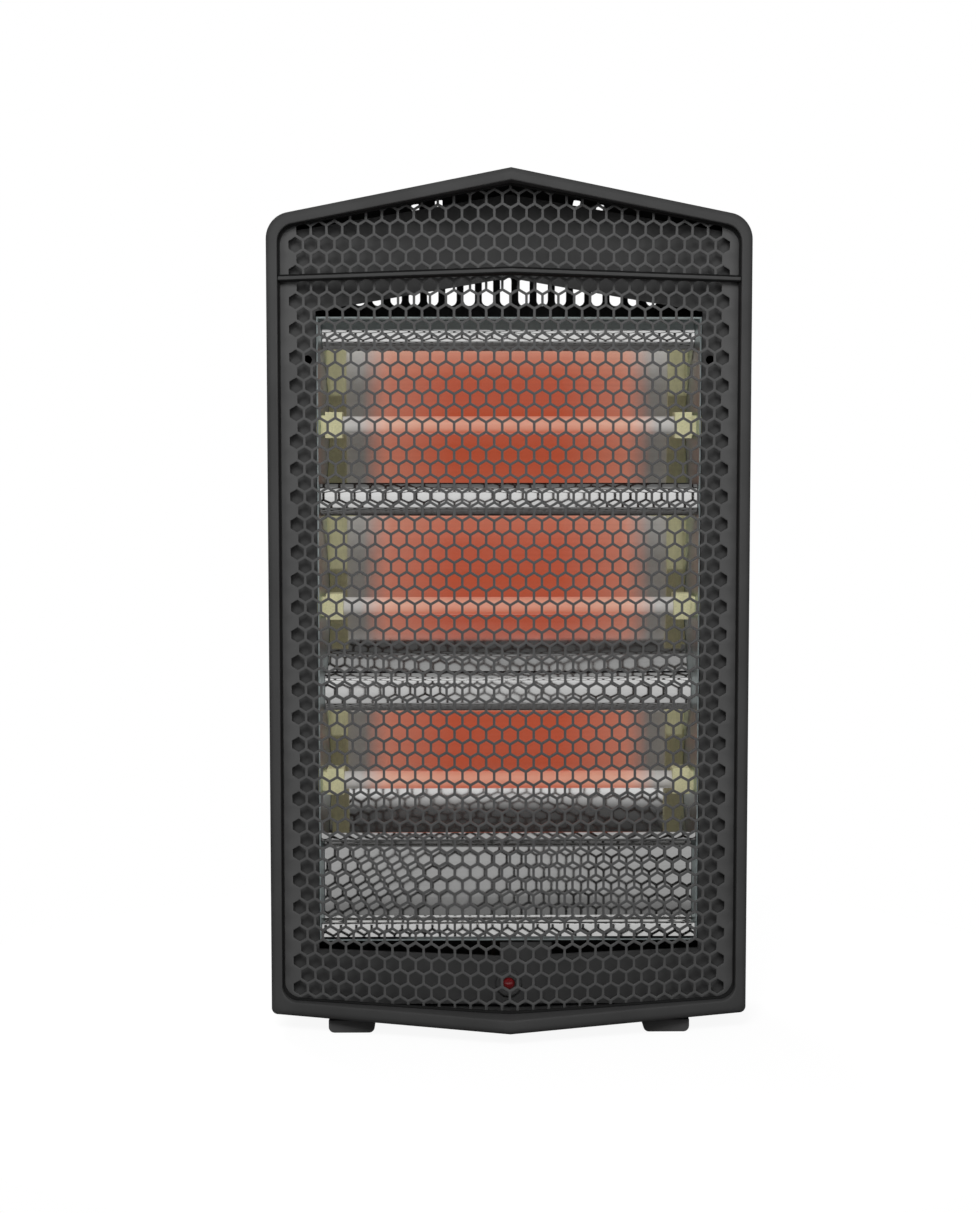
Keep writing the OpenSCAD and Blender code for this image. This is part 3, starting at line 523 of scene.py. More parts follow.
def rounded(bm, edges, radius, segments):
    """Rounds the edges."""
    bmesh.ops.bevel(
        bm, geom=edges, offset=radius, segments=segments, profile=0.5, affect="EDGES",
        clamp_overlap=True, material=-1,
    )


def softened(bm, radius, segments, above):
    """Rounds every edge that turns by more than an angle in degrees."""
    turn = radians(above)
    sharp = [e for e in bm.edges if e.is_manifold and e.calc_face_angle() > turn]
    rounded(bm, sharp, radius, segments)


def from_node(node, radius, segments=2):
    """A joined copy of a solid, with its flat faces whole and its edges rounded."""
    flat, sharp = 0.4, 40
    bm = bmesh.new()
    bm.from_mesh(NODES[node].data)
    bmesh.ops.remove_doubles(bm, verts=bm.verts, dist=2 * TOUCH)
    bmesh.ops.dissolve_limit(bm, angle_limit=radians(flat), verts=bm.verts, edges=bm.edges)
    softened(bm, radius, segments, sharp)
    return bm


def drawn_out(bm, edges):
    """Extrudes the edges, and gives the new vertices and edges."""
    made = bmesh.ops.extrude_edge_only(bm, edges=edges)["geom"]
    kinds = bmesh.types.BMVert, bmesh.types.BMEdge
    return [[part for part in made if isinstance(part, kind)] for kind in kinds]


def strung(bm, points, closed=False):
    """Vertices at the points, and the edges that string them together."""
    verts = [bm.verts.new(p) for p in points]
    ends = verts[1:] + verts[:1] * closed
    return verts, [bm.edges.new(pair) for pair in zip(verts, ends)]


def lofted(rings, closed=False, second=()):
    """Draws the first loop through all the others, round to itself or with both ends filled.

    The bands that are listed as second take a piece's second finish.
    """
    bm = bmesh.new()
    verts, edges = strung(bm, rings[0], closed=True)
    first = edges
    place = {v: k for k, v in enumerate(verts)}
    for band, points in enumerate(rings[1:] + rings[:1] * closed):
        verts, made = drawn_out(bm, edges)
        edges = [e for e in made if e.is_boundary]
        drawn = {}
        for v in verts:
            near = (e.other_vert(v) for e in v.link_edges)
            drawn[v] = next(place[o] for o in near if o in place)
            v.co = points[drawn[v]]
        for e in edges:
            e.link_faces[0].material_index = int(band in second)
        place = drawn
    if not closed:
        for loop in (first, edges):
            bmesh.ops.contextual_create(bm, geom=loop)
    outward(bm)
    return bm


def turned(profile, centre, axis, steps=48):
    """Spins a profile of (radius, height) pairs about an axis through centre."""
    bm = bmesh.new()
    axis = Vector(axis)
    aside = axis.orthogonal().normalized()
    line = [Vector(centre) + aside * r + axis * h for r, h in profile]
    verts, edges = strung(bm, line)
    bmesh.ops.spin(
        bm, geom=verts + edges, cent=centre, axis=axis, angle=2 * pi, steps=steps, use_merge=True
    )
    outward(bm)
    return bm


def block(bm, low, high):
    """Box between two corners."""
    low, high = Vector(low), Vector(high)
    stretch = Matrix.Diagonal((*(high - low), 1.0))
    return bmesh.ops.create_cube(
        bm, size=1.0, matrix=Matrix.Translation((low + high) / 2) @ stretch
    )["verts"]


def arc(centre, radius, start, stop, steps):
    """Points of an arc in a plane, angles in degrees."""
    turns = [radians(start + (stop - start) * k / steps) for k in range(steps + 1)]
    return [(centre[0] + radius * cos(t), centre[1] + radius * sin(t)) for t in turns]


# Front of the heater


def front_depth(f, x):
    """Depth of the frame's front surface at a distance from the middle."""
    return CAD_LOW.y + f.prow * abs(x) / f.half_width


def sheet_depth(g, f, x):
    """Depth of the perforated sheet's front, with its softly rounded fold."""
    edge = CAD_LOW.y + f.prow + g.set_back
    return edge - g.rise + g.rise / g.edge * sqrt(x * x + g.fold_radius ** 2)


def corner_points(a, p, b, radius, steps):
    """Arc that rounds the corner p between its neighbours a and b."""
    u, v = (a - p).normalized(), (b - p).normalized()
    half = acos(u.dot(v)) / 2
    centre = p + (u + v).normalized() * radius / sin(half)
    first = p + u * radius / tan(half) - centre
    last = p + v * radius / tan(half) - centre
    start = atan2(first.y, first.x)
    sweep = (atan2(last.y, last.x) - start + 3 * pi) % (2 * pi) - pi
    turns = [start + sweep * k / steps for k in range(steps + 1)]
    return [centre + radius * Vector((cos(t), sin(t))) for t in turns]


def gable_outline(f, side, top, base, r_top, r_base, steps=14, run=10):
    """Outline seen from the front, from the lower middle round to the right and back."""
    half = f.half_width - side
    slope = f.gable / f.half_width
    peak = Vector((0, f.eave + f.gable - top / cos(atan(slope))))
    eave = Vector((half, peak.y - slope * half))
    toe = Vector((half, f.base + base))
    middle = Vector((0, f.base + base - f.dip))
    lower = corner_points(middle, toe, eave, r_base, steps)
    upper = corner_points(toe, eave, peak, r_top, steps)
    right = [middle]
    for bend in (lower, upper, [peak]):
        start = right[-1]
        right += [start.lerp(bend[0], k / run) for k in range(1, run)] + list(bend)
    return right + [Vector((-p.x, p.y)) for p in right[-2:0:-1]]


class HEATER_OT_front_frame(bpy.types.Operator):
    """Gabled frame with its rounded bead, groove and deep lip"""

    bl_idname = "heater.front_frame"
    bl_label = "Front frame"

    def execute(self, context):
        f, g = context.scene.heater_frame, context.scene.heater_grille
        outer = gable_outline(f, 0, 0, 0, f.corner, f.toe_corner)
        inset = f.border_side, f.border_top, f.border_base
        inner = gable_outline(f, *inset, f.inner_corner, f.inner_corner)
        width = f.border_side * f.bead
        outer_depth, inner_depth = width * f.bead_out, width * f.bead_in
        rear = CAD_LOW.y + f.prow + f.skirt
        soft, room = 0.0004, 0.00015
        groove_edge, lip_edge = f.bead + 0.04, 1 - 0.05
        skirt = f.skirt_wall / f.border_side
        steps, ease = 10, 4

        def seat(x):
            return sheet_depth(g, f, x) - room

        def front(back):
            return lambda x: front_depth(f, x) + back

        # Each station is a part of the way from the outer to the inner outline, and a depth.
        stations = [
            (0, lambda x: rear),
            (0, lambda x: (rear + front_depth(f, x) + outer_depth) / 2),
        ]
        for k in range(steps + 1):
            turn = pi / 2 * k / steps
            way = f.bead * f.bead_out * (1 - cos(turn))
            stations.append((way, front(outer_depth * (1 - sin(turn)))))
        for k in range(ease + 1):
            turn = pi / 2 * k / ease
            way = f.bead * (1 - f.bead_in * (1 - sin(turn)))
            stations.append((way, front(inner_depth * (1 - cos(turn)))))
        groove = len(stations)
        stations += [
            (f.bead, lambda x: seat(x) - f.lip - soft),
            (groove_edge, lambda x: seat(x) - f.lip),
            (lip_edge, lambda x: seat(x) - f.lip),
            (1, lambda x: seat(x) - f.lip + soft),
            (1, seat),
            (skirt, seat),
            (skirt, lambda x: rear),
        ]
        rings = []
        for way, depth in stations:
            line = [o.lerp(i, way) for o, i in zip(outer, inner)]
            rings.append([(p.x, depth(p.x), p.y) for p in line])
        # The groove's floor and the lip's edge take painted shade: darker plastic that stands in
        # for the shadow of a deep gap.
        painted_shade_bands = range(groove, groove + 4)
        bm = lofted(rings, closed=True, second=painted_shade_bands)
        kept(
            "gabled_front_frame", bm, "black_plastic", ["front_frame"],
            finish=("black_plastic", "groove_plastic"),
        )
        return {"FINISHED"}


class HEATER_OT_grille(bpy.types.Operator):
    """Perforated sheet with rows of hexagons, folded at its middle"""

    bl_idname = "heater.grille"
    bl_label = "Grille"

    def execute(self, context):
        g, f = context.scene.heater_grille, context.scene.heater_frame
        row_pitch = g.pitch * sqrt(3) / 2
        cell = g.pitch / sqrt(3)
        base = f.base + f.border_base / 2
        top = f.eave + f.gable - f.border_top / 2
        rows = int((g.first_row - base) / row_pitch / 2) + 1
        start = g.first_row - 2 * row_pitch * rows
        count = int((top - start) / row_pitch / 2) + 2
        bm = bmesh.new()

        def hexagon(x, z, open_cell):
            made = bmesh.ops.create_circle(
                bm, cap_ends=True, segments=6, radius=cell,
                matrix=Matrix.Translation((x, 0, z)) @ UPRIGHT,
            )["verts"]
            face = made[0].link_faces[0]
            if open_cell:
                bmesh.ops.inset_individual(
                    bm, faces=[face], thickness=g.web / 2, use_even_offset=True
                )
                bmesh.ops.delete(bm, geom=[face], context="FACES")

        def repeated(first, step, times):
            bmesh.ops.spin(
                bm, geom=first, axis=(0, 1, 0), dvec=step, steps=times, use_duplicate=True
            )

        for shift, level in ((0.0, start), (0.5, start + row_pitch)):
            before = set(bm.faces)
            hexagon(-(g.holes + shift) * g.pitch, level, True)
            fresh = [face for face in bm.faces if face not in before]
            repeated(fresh, (g.pitch, 0, 0), int(2 * (g.holes + shift)))
            for hand in (-1, 1):
                hexagon(hand * (g.holes + shift + 1) * g.pitch, level, False)
        repeated(bm.faces[:], (0, 0, 2 * row_pitch), count)
        bmesh.ops.remove_doubles(bm, verts=bm.verts, dist=20 * TOUCH)
        bmesh.ops.scale(bm, verts=bm.verts, vec=(g.edge / hypot(g.edge, g.rise), 1, 1))
        slope = f.gable / f.half_width
        cuts = [
            ((0, 0, base), (0, 0, -1)),
            ((g.edge, 0, 0), (1, 0, 0)),
            ((-g.edge, 0, 0), (-1, 0, 0)),
            ((0, 0, top), (slope, 0, 1)),
            ((0, 0, top), (-slope, 0, 1)),
        ]
        eave = top - slope * g.edge
        top_cut, base_cut = 0.55 * f.corner, 0.3 * f.inner_corner
        for hand in (-1, 1):
            cuts.append(((hand * (g.edge - top_cut), 0, eave), (hand, 0, 1)))
            cuts.append(((hand * (g.edge - base_cut), 0, base), (hand, 0, -1)))
        for point, normal in cuts:
            bmesh.ops.bisect_plane(
                bm, geom=bm.verts[:] + bm.edges[:] + bm.faces[:], dist=TOUCH,
                plane_co=point, plane_no=normal, clear_outer=True,
            )
        for face in bm.faces:
            if face.normal.y > 0:
                face.normal_flip()
        for v in bm.verts:
            v.co.y = sheet_depth(g, f, v.co.x) + g.thickness
        bmesh.ops.solidify(bm, geom=bm.faces[:], thickness=g.thickness)
        rim, sharp = 0.00028, 60
        softened(bm, rim, 1, sharp)
        kept("hexagon_grille_sheet", bm, "black_paint", ["grille"], crease=50.0)
        return {"FINISHED"}


class HEATER_OT_cross_rail(bpy.types.Operator):
    """Slim rail across the grille with a rounded front"""

    bl_idname = "heater.cross_rail"
    bl_label = "Cross rail"

    def execute(self, context):
        g, f = context.scene.heater_grille, context.scene.heater_frame
        room, blunt, tilt = 0.0003, 2.6, 0.2
        end = f.half_width - f.border_side * f.bead - room
        nose = g.rail_height / blunt
        half = g.rail_height / 2
        stops = (end, 0.06, 0.012, 0.004)
        rings = []
        for x in (*stops, 0, *(-stop for stop in reversed(stops))):
            level = g.rail_level + g.rail_rise * (1 - abs(x) / f.half_width)
            front = front_depth(f, x) + g.rail_set + nose
            back = sheet_depth(g, f, x) - f.lip - room
            section = [(back, -half)]
            section += arc((front, nose - half), nose, 270, 180, 6)
            section += arc((front, half - nose), nose, 180, 90, 6)
            section.append((back, half))
            rings.append([(x, y, level + z) for y, z in section])
        bm = lofted(rings)
        # The faces that look up or down take the frame groove's painted shade, darker plastic for
        # the shadow gaps above and below the rail.
        for face in bm.faces:
            face.material_index = int(abs(face.normal.z) > tilt)
        kept(
            "grille_cross_rail", bm, "black_plastic", ["cross_rail"],
            finish=("black_plastic", "groove_plastic"),
        )
        return {"FINISHED"}


class HEATER_OT_pilot_lamp(bpy.types.Operator):
    """Round bezel with a domed red lens, low on the mask"""

    bl_idname = "heater.pilot_lamp"
    bl_label = "Pilot lamp"

    def execute(self, context):
        low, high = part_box("pilot_bezel")
        lens_low, lens_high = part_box("pilot_lens")
        centre = Vector(((low.x + high.x) / 2, low.y, (low.z + high.z) / 2))
        outer = (high.x - low.x) / 2
        lens = (lens_high.x - lens_low.x) / 2
        bore, sleeve = lens + 0.0001, lens + 0.0015
        depth, flange, soft = 0.009, 0.0025, 0.0014
        profile = [
            (bore, depth), (bore, 0.0016), (lens + 0.0005, 0.0010), (lens + 0.0012, 0.0012),
            (outer * 0.62, 0.0004), *arc((outer - soft, soft), soft, 270, 360, 6),
            (outer, flange), (sleeve, flange), (sleeve, depth), (bore, depth),
        ]
        bm = turned(profile, centre, (0, 1, 0))
        kept("pilot_lamp_bezel", bm, "black_plastic", ["pilot_bezel"])
        tip, rear = lens_low.y - centre.y, lens_high.y - centre.y
        turns = [radians(a) for a in range(0, 91, 10)]
        dome = [(lens * sin(t), tip + lens * (1 - cos(t))) for t in turns]
        bm = turned(dome + [(lens, rear), (0, rear)], centre, (0, 1, 0), steps=32)
        kept("pilot_lamp_lens", bm, "red_lens", ["pilot_lens"])
        return {"FINISHED"}


# Heat


def turn_of(a, corner, b, steps=8):
    """Soft bend from a to b whose tangents meet at the corner."""
    return [
        tuple((1 - t) ** 2 * p + 2 * t * (1 - t) * q + t * t * r for p, q, r in zip(a, corner, b))
        for t in (k / steps for k in range(steps + 1))
    ]


def dish_profile(h, row, lip, bend, lean, foot):
    """Section of a reflector: a parabola with its focus beside the tube, then a flat lip.

    The top of the lip leans back. Where the reflector has a foot, the sheet turns steeply down
    there to end behind the ridge below it.
    """
    low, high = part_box("reflector_" + row)
    tube_low, tube_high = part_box("quartz_tube_" + row)
    tube = (tube_low + tube_high) / 2
    top = high.z - lip
    knee = high.z - bend
    soft = 0.002

    def depth(z):
        bow = (z - tube.z + h.focus_drop) ** 2 / (4 * h.focal)
        return tube.y - h.focus_ahead + h.focal - bow

    ridge = depth(top)

    def flat(z):
        return ridge + lean * max(0.0, z - knee) / bend

    steps = 56
    last, start = top - h.fold, top + h.fold
    line = []
    first = low.z
    if foot:
        ankle_part, shin, toe = 0.56, 0.42, 0.27
        first, ankle = low.z + foot, low.z + ankle_part * foot
        bend_y = depth(first) - shin * (first - ankle)
        under, over = (bend_y - toe * soft, ankle - soft), (bend_y + shin * soft, ankle + soft)
        line = [(bend_y - toe * (ankle - low.z), low.z), *turn_of(under, (bend_y, ankle), over, 5)]
    line += [(depth(z), z) for z in (first + (last - first) * k / steps for k in range(steps))]
    line += turn_of((depth(last), last), (ridge, top), (flat(start), start))
    if knee - soft > start:
        above = knee + soft
        line += turn_of((ridge, knee - soft), (ridge, knee), (flat(above), above), 5)
    return line + [(flat(high.z), high.z)]


def tray_profile(h):
    """Section of the deflector: an upright foot, a panel set back behind it and a lip on top."""
    low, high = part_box("lower_deflector")
    rim = low.y
    back = high.y - h.metal
    foot, lean, shelf = 0.0095, 0.0005, 0.0003
    slope, lip = 0.005, 0.0057
    soft, lead = 0.0012, 1.5
    corners = [
        (rim, low.z),
        (rim + lean, low.z + foot),
        (back, low.z + foot + shelf),
        (back, high.z - lip - slope),
        (rim, high.z - lip),
        (rim, high.z),
    ]
    line = [corners[0]]
    for before, corner, after in zip(corners, corners[1:], corners[2:]):
        here, a, b = Vector(corner), Vector(before), Vector(after)
        back_way, way = (a - here).normalized() * soft, (b - here).normalized() * soft
        bend = turn_of(here + back_way, here, here + way, 5)
        line += [here + lead * back_way, *bend, here + lead * way]
    return line + [corners[-1]]


class HEATER_OT_reflectors(bpy.types.Operator):
    """Bright parabolic troughs behind the tubes and the deflector below them"""

    bl_idname = "heater.reflectors"
    bl_label = "Reflectors"

    def execute(self, context):
        h = context.scene.heater_heat
        side_low, side_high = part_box("reflector_side_right")
        gap = 0.0003
        taper = (side_high.x - side_low.x - h.metal) / (side_high.y - side_low.y)

        def edge(y):
            return side_high.x - h.metal - gap - taper * (y - side_low.y)

        # Lip, bend, lean and foot of each reflector.
        lips = {
            "upper": (0.017, 0.007, 0.0019, 0),
            "middle": (0.0187, 0.004, 0.0012, 0.0206),
            "lower": (0.0237, 0.004, 0.0012, 0),
        }
        sheets = {"reflector_" + row: dish_profile(h, row, *lips[row]) for row in ROWS}
        sheets["lower_deflector"] = tray_profile(h)
        for node, line in sheets.items():
            bm = bmesh.new()
            edges = strung(bm, [(-edge(y), y, z) for y, z in line])[1]
            for v in drawn_out(bm, edges)[0]:
                v.co.x = edge(v.co.y)
            outward(bm)
            if bm.faces[:][len(bm.faces) // 2].normal.y > 0:
                bmesh.ops.reverse_faces(bm, faces=bm.faces)
            bmesh.ops.solidify(bm, geom=bm.faces[:], thickness=h.metal)
            kept(node + "_bright", bm, "polished_aluminium", [node], crease=40.0)
        return {"FINISHED"}


class HEATER_OT_quartz_tubes(bpy.types.Operator):
    """Milky quartz tubes with fire-polished ends"""

    bl_idname = "heater.quartz_tubes"
    bl_label = "Quartz tubes"

    def execute(self, context):
        wall, lip = 0.0012, 0.0005
        for row in ROWS:
            low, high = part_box("quartz_tube_" + row)
            centre = (low + high) / 2
            outer = (high.z - low.z) / 2
            inner = outer - wall
            end = high.x - centre.x
            left = [(inner, lip - end), (inner + lip, -end), (outer - lip, -end)]
            left.append((outer, lip - end))
            right = [(radius, -along) for radius, along in reversed(left)]
            profile = [*left, (outer, -end / 3), (outer, end / 3), *right, left[0]]
            bm = turned(profile, centre, (1, 0, 0), steps=64)
            kept("milky_tube_" + row, bm, "quartz", ["quartz_tube_" + row])
        return {"FINISHED"}


class HEATER_OT_heating_coils(bpy.types.Operator):
    """Close-wound wires inside the tubes"""

    bl_idname = "heater.heating_coils"
    bl_label = "Heating coils"

    def execute(self, context):
        h = context.scene.heater_heat
        steps = 10 * h.turns
        tail, ramp = 0.004, 0.002
        for row in ROWS:
            low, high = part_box("heating_coil_" + row)
            centre = (low + high) / 2
            half = (high.x - low.x) / 2
            wound = half - tail
            start = Matrix.Translation((centre.x - wound, centre.y, centre.z + h.coil_radius))
            bm = bmesh.new()
            made = bmesh.ops.create_circle(
                bm, segments=6, radius=h.wire / 2, matrix=start @ UPRIGHT
            )["verts"]
            bmesh.ops.spin(
                bm, geom=made + bm.edges[:], cent=centre, axis=(1, 0, 0),
                dvec=(2 * wound / steps, 0, 0), angle=2 * pi * h.turns, steps=steps,
            )
            for end in (-1, 1):
                open_edges = (e for e in bm.edges if e.is_boundary)
                rim = [e for e in open_edges if (e.verts[0].co.x - centre.x) * end > 0]
                # The wire's tail comes down to the axis in two bends.
                for x, level in ((wound + ramp, 0.3), (half, 0.0)):
                    moved, rim = drawn_out(bm, rim)
                    mean = sum((v.co for v in moved), Vector()) / len(moved)
                    goal = Vector((centre.x + end * x, centre.y, centre.z + level * h.coil_radius))
                    bmesh.ops.translate(bm, verts=moved, vec=goal - mean)
                bmesh.ops.contextual_create(bm, geom=rim)
            outward(bm)
            kept("wound_wire_" + row, bm, "heating_wire", ["heating_coil_" + row])
        return {"FINISHED"}


class HEATER_OT_ceramic_ends(bpy.types.Operator):
    """Square ceramic holders with rounded edges"""

    bl_idname = "heater.ceramic_ends"
    bl_label = "Ceramic ends"

    def execute(self, context):
        for row in ROWS:
            for side in SIDES:
                node = f"ceramic_end_{row}_{side}"
                bm = from_node(node, radius=0.0008)
                kept(node + "_holder", bm, "steatite", [node])
        return {"FINISHED"}


# Back of the heater


class HEATER_OT_rear_housing(bpy.types.Operator):
    """Moulded housing with its vents, edges rounded"""

    bl_idname = "heater.rear_housing"
    bl_label = "Rear housing"

    def execute(self, context):
        bm = from_node("rear_housing", radius=0.0006)
        piece = kept("rear_housing_moulding", bm, "black_plastic", ["rear_housing"], crease=24.0)
        piece.modifiers.new("even_normals", "WEIGHTED_NORMAL").keep_sharp = True
        return {"FINISHED"}


class HEATER_OT_carry_handle(bpy.types.Operator):
    """Bow handle with flanged posts and a ribbed grip"""

    bl_idname = "heater.carry_handle"
    bl_label = "Carry handle"

    def execute(self, context):
        low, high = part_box("carry_handle")
        grip, bend, plain, dent = 0.006, 0.013, 0.004, 0.0005
        ribs, rib_steps, sides = 13, 4, 24
        level = (low.z + high.z) / 2
        flange = high.z - level
        post = high.x - flange
        back = high.y - grip
        # Distance from the housing and radius along a post, then (x, y, turn, radius) along a half.
        foot = [
            (0, flange), (0.003, flange), (0.004, flange - 0.001), (0.0045, grip + 0.0012),
            (0.006, grip), (back - bend - low.y, grip),
        ]
        path = [(post, low.y + out, 0, radius) for out, radius in foot]
        for turn in range(10, 91, 10):
            x, y = post - bend + bend * cos(radians(turn)), back - bend + bend * sin(radians(turn))
            path.append((x, y, turn, grip))
        reach, stops = post - bend - plain, ribs * rib_steps
        for k in range(stops + 1):
            ridge = grip - dent * (k % rib_steps == rib_steps // 2)
            path.append((reach - reach * k / stops, back, 90, ridge))
        mirrored = [(-x, y, 180 - turn, radius) for x, y, turn, radius in path[-2::-1]]
        spokes = [2 * pi * k / sides for k in range(sides)]
        up = Vector((0, 0, 1))
        rings = []
        for x, y, turn, radius in path + mirrored:
            along = Vector((-sin(radians(turn)), cos(radians(turn)), 0))
            aside = Vector((along.y, -along.x, 0))
            centre = Vector((x, y, level))
            rings.append([centre + radius * (cos(t) * aside + sin(t) * up) for t in spokes])
        bm = lofted(rings)
        kept("bow_handle", bm, "black_plastic", ["carry_handle"], finish=("grip_plastic",))
        return {"FINISHED"}


class HEATER_OT_control_knob(bpy.types.Operator):
    """Selector knob with a finger bar and a pale pointer"""

    bl_idname = "heater.control_knob"
    bl_label = "Control knob"

    def execute(self, context):
        low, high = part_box("control_knob")
        radius = (high.x - low.x) / 2
        level = (low.z + high.z) / 2
        centre = Vector((0, low.y, level))
        tall = high.y - low.y
        bar = 0.008
        disc = tall - bar
        bore, soft, shoulder, cap = 0.0031, 0.0006, 0.0016, 0.001
        profile = [
            (bore, 0), (radius - soft, 0), (radius, soft),
            *arc((radius - 0.0022, disc - shoulder), shoulder, 0, 90, 6),
            (radius - 0.004, disc + soft), (radius - 0.0046, disc + cap), (0, disc + cap),
            (0, disc - cap), (bore, disc - cap), (bore, 0),
        ]
        bm = turned(profile, centre, (0, 1, 0), steps=96)
        half, sunk, reach = 0.0035, 0.0005, radius - 0.003
        narrow, short = 0.72, 0.93
        foot = low.y + disc - sunk
        verts = block(bm, (-half, foot, level - reach), (half, high.y, level + reach))
        for v in verts:
            if v.co.y > high.y - TOUCH:
                v.co.x *= narrow
                v.co.z = level + (v.co.z - level) * short
        edges = [e for e in bm.edges if e.verts[0] in verts]
        rounded(bm, edges, radius=0.0011, segments=3)
        kept("selector_knob", bm, "black_plastic", ["control_knob"], body="selector")
        mark, deep, proud, margin = 0.0007, 0.0003, 0.00012, 0.004
        bm = bmesh.new()
        tip = level + reach - margin
        block(bm, (-mark, high.y - deep, level + margin), (mark, high.y + proud, tip))
        softened(bm, 0.00008, 1, 30)
        kept("selector_pointer", bm, "white_plastic", body="selector")
        return {"FINISHED"}


class HEATER_OT_feet(bpy.types.Operator):
    """Runner feet with rounded edges"""

    bl_idname = "heater.feet"
    bl_label = "Feet"

    def execute(self, context):
        for side in SIDES:
            node = "foot_" + side
            bm = from_node(node, radius=0.0008)
            # The feet take the painted-light plastic, lighter to make up for the shade under the
            # frame.
            kept("runner_" + node, bm, "black_plastic", [node], finish=("foot_plastic",))
        return {"FINISHED"}


class HEATER_OT_cord_gland(bpy.types.Operator):
    """Soft bush that lines the cord's way through the back"""

    bl_idname = "heater.cord_gland"
    bl_label = "Cord gland"

    def execute(self, context):
        bm = from_node("cord_gland", radius=0.0007, segments=3)
        kept("cord_bush", bm, "gland_rubber", ["cord_gland"])
        return {"FINISHED"}


class HEATER_OT_finishes(bpy.types.Operator):
    """Gives the plain solids that stay their finishes"""

    bl_idname = "heater.finishes"
    bl_label = "Finishes"

    def execute(self, context):
        slots = {part["node"]: part["material_slot"] for part in frame["record"]["subparts"]}
        walls = ("side_left", "side_right", "roof", "floor")
        special = {"reflector_" + wall: "satin_aluminium" for wall in walls}
        special["inner_mask"] = "mask_paint"
        for name, node in NODES.items():
            if not node.hide_render:
                node.data.materials.clear()
                node.data.materials.append(FINISHES[special.get(name, slots[name])])
        return {"FINISHED"}


# Stage


class HEATER_OT_stage(bpy.types.Operator):
    """Pale floor, soft light and the camera"""

    bl_idname = "heater.stage"
    bl_label = "Stage"

    def execute(self, context):
        scene = context.scene
        s = scene.heater_stage
        scene.view_settings.view_transform = "Standard"
        data = bpy.data.cameras.new("camera")
        data.lens = s.lens
        data.sensor_width = 36.0
        scene.camera = camera = placed("camera", data)
        camera.location = (-s.aside, -s.distance, s.height)
        camera.rotation_euler = (pi / 2 - s.pitch, 0, -s.heading)

        target = Vector((0, 0, 0.28))
        # Place, size and power of each lamp.
        lamps = {
            "key": ((-0.2, -1.4, 1.15), 0.6, s.key),
            "fill": ((0.5, -1.6, 1.0), 0.8, s.fill),
            "top": ((0.0, 0.3, 1.9), 1.0, s.top),
            "back": ((-0.7, 1.5, 1.3), 0.9, s.back),
        }
        for name, (place, size, power) in lamps.items():
            light = bpy.data.lights.new(name, "AREA")
            light.shape = "DISK"
            light.size = size
            light.energy = power
            lamp = placed(name, light)
            lamp.location = place
            lamp.visible_glossy = False
            lamp.rotation_euler = (target - Vector(place)).to_track_quat("-Z", "Y").to_euler()

        bm = bmesh.new()
        bmesh.ops.create_circle(bm, cap_ends=True, segments=96, radius=s.floor)
        floor = placed("floor", bm)
        floor.data.materials.append(pale_floor())
        studio_world(scene, s.ambient)
        return {"FINISHED"}


def pale_floor():
    """White floor that stays white to the eye and keeps a soft shadow."""
    matt, to_eye, to_mirrors = 0.12, 0.92, 0.04
    material = bpy.data.materials.new("pale_floor")
    tree = Tree(material)
    tree.nodes.clear()
    camera, mirrors = tree.looks()
    level = tree.maths("MULTIPLY_ADD", camera, to_eye, tree.maths("MULTIPLY", mirrors, to_mirrors))
    glow = tree.add("ShaderNodeEmission", Strength=level)
    paper = tree.add("ShaderNodeBsdfDiffuse", Color=matt)
    both = tree.add("ShaderNodeAddShader")
    tree.feed(paper.outputs["BSDF"], both.inputs[0])
    tree.feed(glow.outputs["Emission"], both.inputs[1])
    tree.add("ShaderNodeOutputMaterial", Surface=both.outputs["Shader"])
    return material


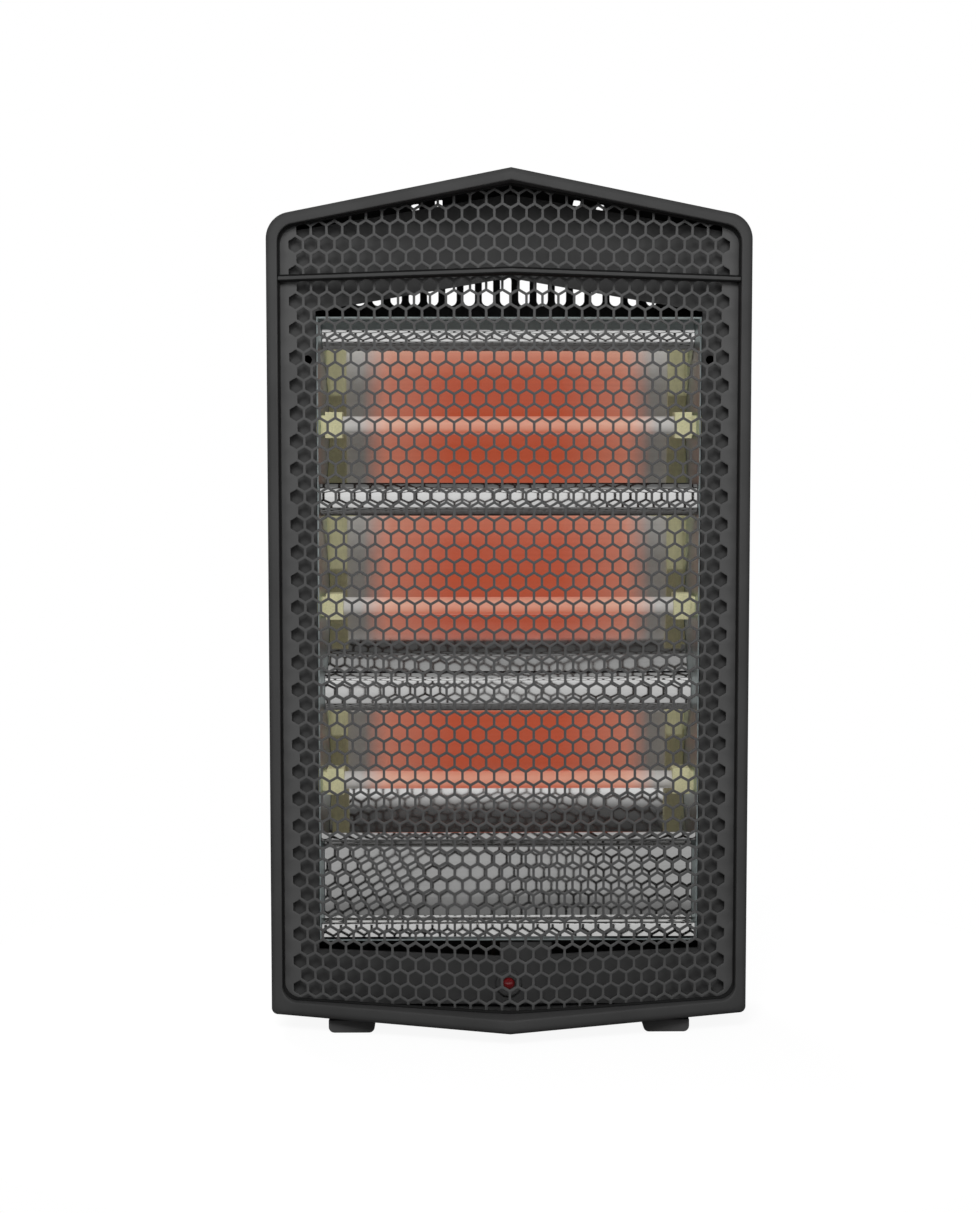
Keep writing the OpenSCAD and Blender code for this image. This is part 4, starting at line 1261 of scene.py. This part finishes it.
def studio_world(scene, ambient):
    """White to the eye; mirrors see a studio that is bright along the horizon and dim overhead."""
    scene.world = bpy.data.worlds.new("studio")
    tree = Tree(scene.world)
    tree.nodes.clear()
    axes = tree.axes(tree.add("ShaderNodeTexCoord").outputs["Generated"])
    rise = tree.graded(axes["Z"], [
        (-1.0, 0.10), (-0.40, 0.12), (-0.22, 0.28), (-0.12, 0.55), (0.0, 0.72), (0.22, 0.68),
        (0.40, 0.34), (0.55, 0.08), (1.0, 0.05),
    ])
    turn = tree.graded(axes["Y"], [
        (-0.85, 1.0), (-0.5, 0.50), (0.3, 0.25), (0.8, 0.35), (0.92, 0.5),
    ])
    studio = tree.mix(1.0, rise, turn, "MULTIPLY")
    camera, mirrors = tree.looks()
    soft = tree.mix(mirrors, ambient, studio)
    back = tree.add("ShaderNodeBackground", Color=tree.mix(camera, soft, 1.0))
    tree.add("ShaderNodeOutputWorld", Surface=back.outputs["Background"])


GROUPS = {
    "heater_grille": GrilleSettings,
    "heater_frame": FrameSettings,
    "heater_heat": HeatSettings,
    "heater_finish": FinishSettings,
    "heater_stage": StageSettings,
}
STEPS = (
    HEATER_OT_front_frame,
    HEATER_OT_grille,
    HEATER_OT_cross_rail,
    HEATER_OT_pilot_lamp,
    HEATER_OT_reflectors,
    HEATER_OT_quartz_tubes,
    HEATER_OT_heating_coils,
    HEATER_OT_ceramic_ends,
    HEATER_OT_rear_housing,
    HEATER_OT_carry_handle,
    HEATER_OT_control_knob,
    HEATER_OT_feet,
    HEATER_OT_cord_gland,
    HEATER_OT_finishes,
    HEATER_OT_stage,
)


class HEATER_PT_pieces(bpy.types.Panel):
    """Lists the steps that dress the heater"""

    bl_idname = "HEATER_PT_pieces"
    bl_label = "Quartz heater"
    bl_space_type = "VIEW_3D"
    bl_region_type = "UI"
    bl_category = "Heater"

    def draw(self, context):
        for step in STEPS:
            self.layout.operator(step.bl_idname)


def register():
    for name, group in GROUPS.items():
        bpy.utils.register_class(group)
        setattr(bpy.types.Scene, name, PointerProperty(type=group))
    for step in (*STEPS, HEATER_PT_pieces):
        bpy.utils.register_class(step)


def unregister():
    for step in (HEATER_PT_pieces, *reversed(STEPS)):
        bpy.utils.unregister_class(step)
    for name, group in reversed(list(GROUPS.items())):
        delattr(bpy.types.Scene, name)
        bpy.utils.unregister_class(group)


def main():
    register()
    make_finishes(bpy.context)
    for step in STEPS:
        group, name = step.bl_idname.split(".")
        getattr(getattr(bpy.ops, group), name)()


if __name__ == "__main__":
    main()
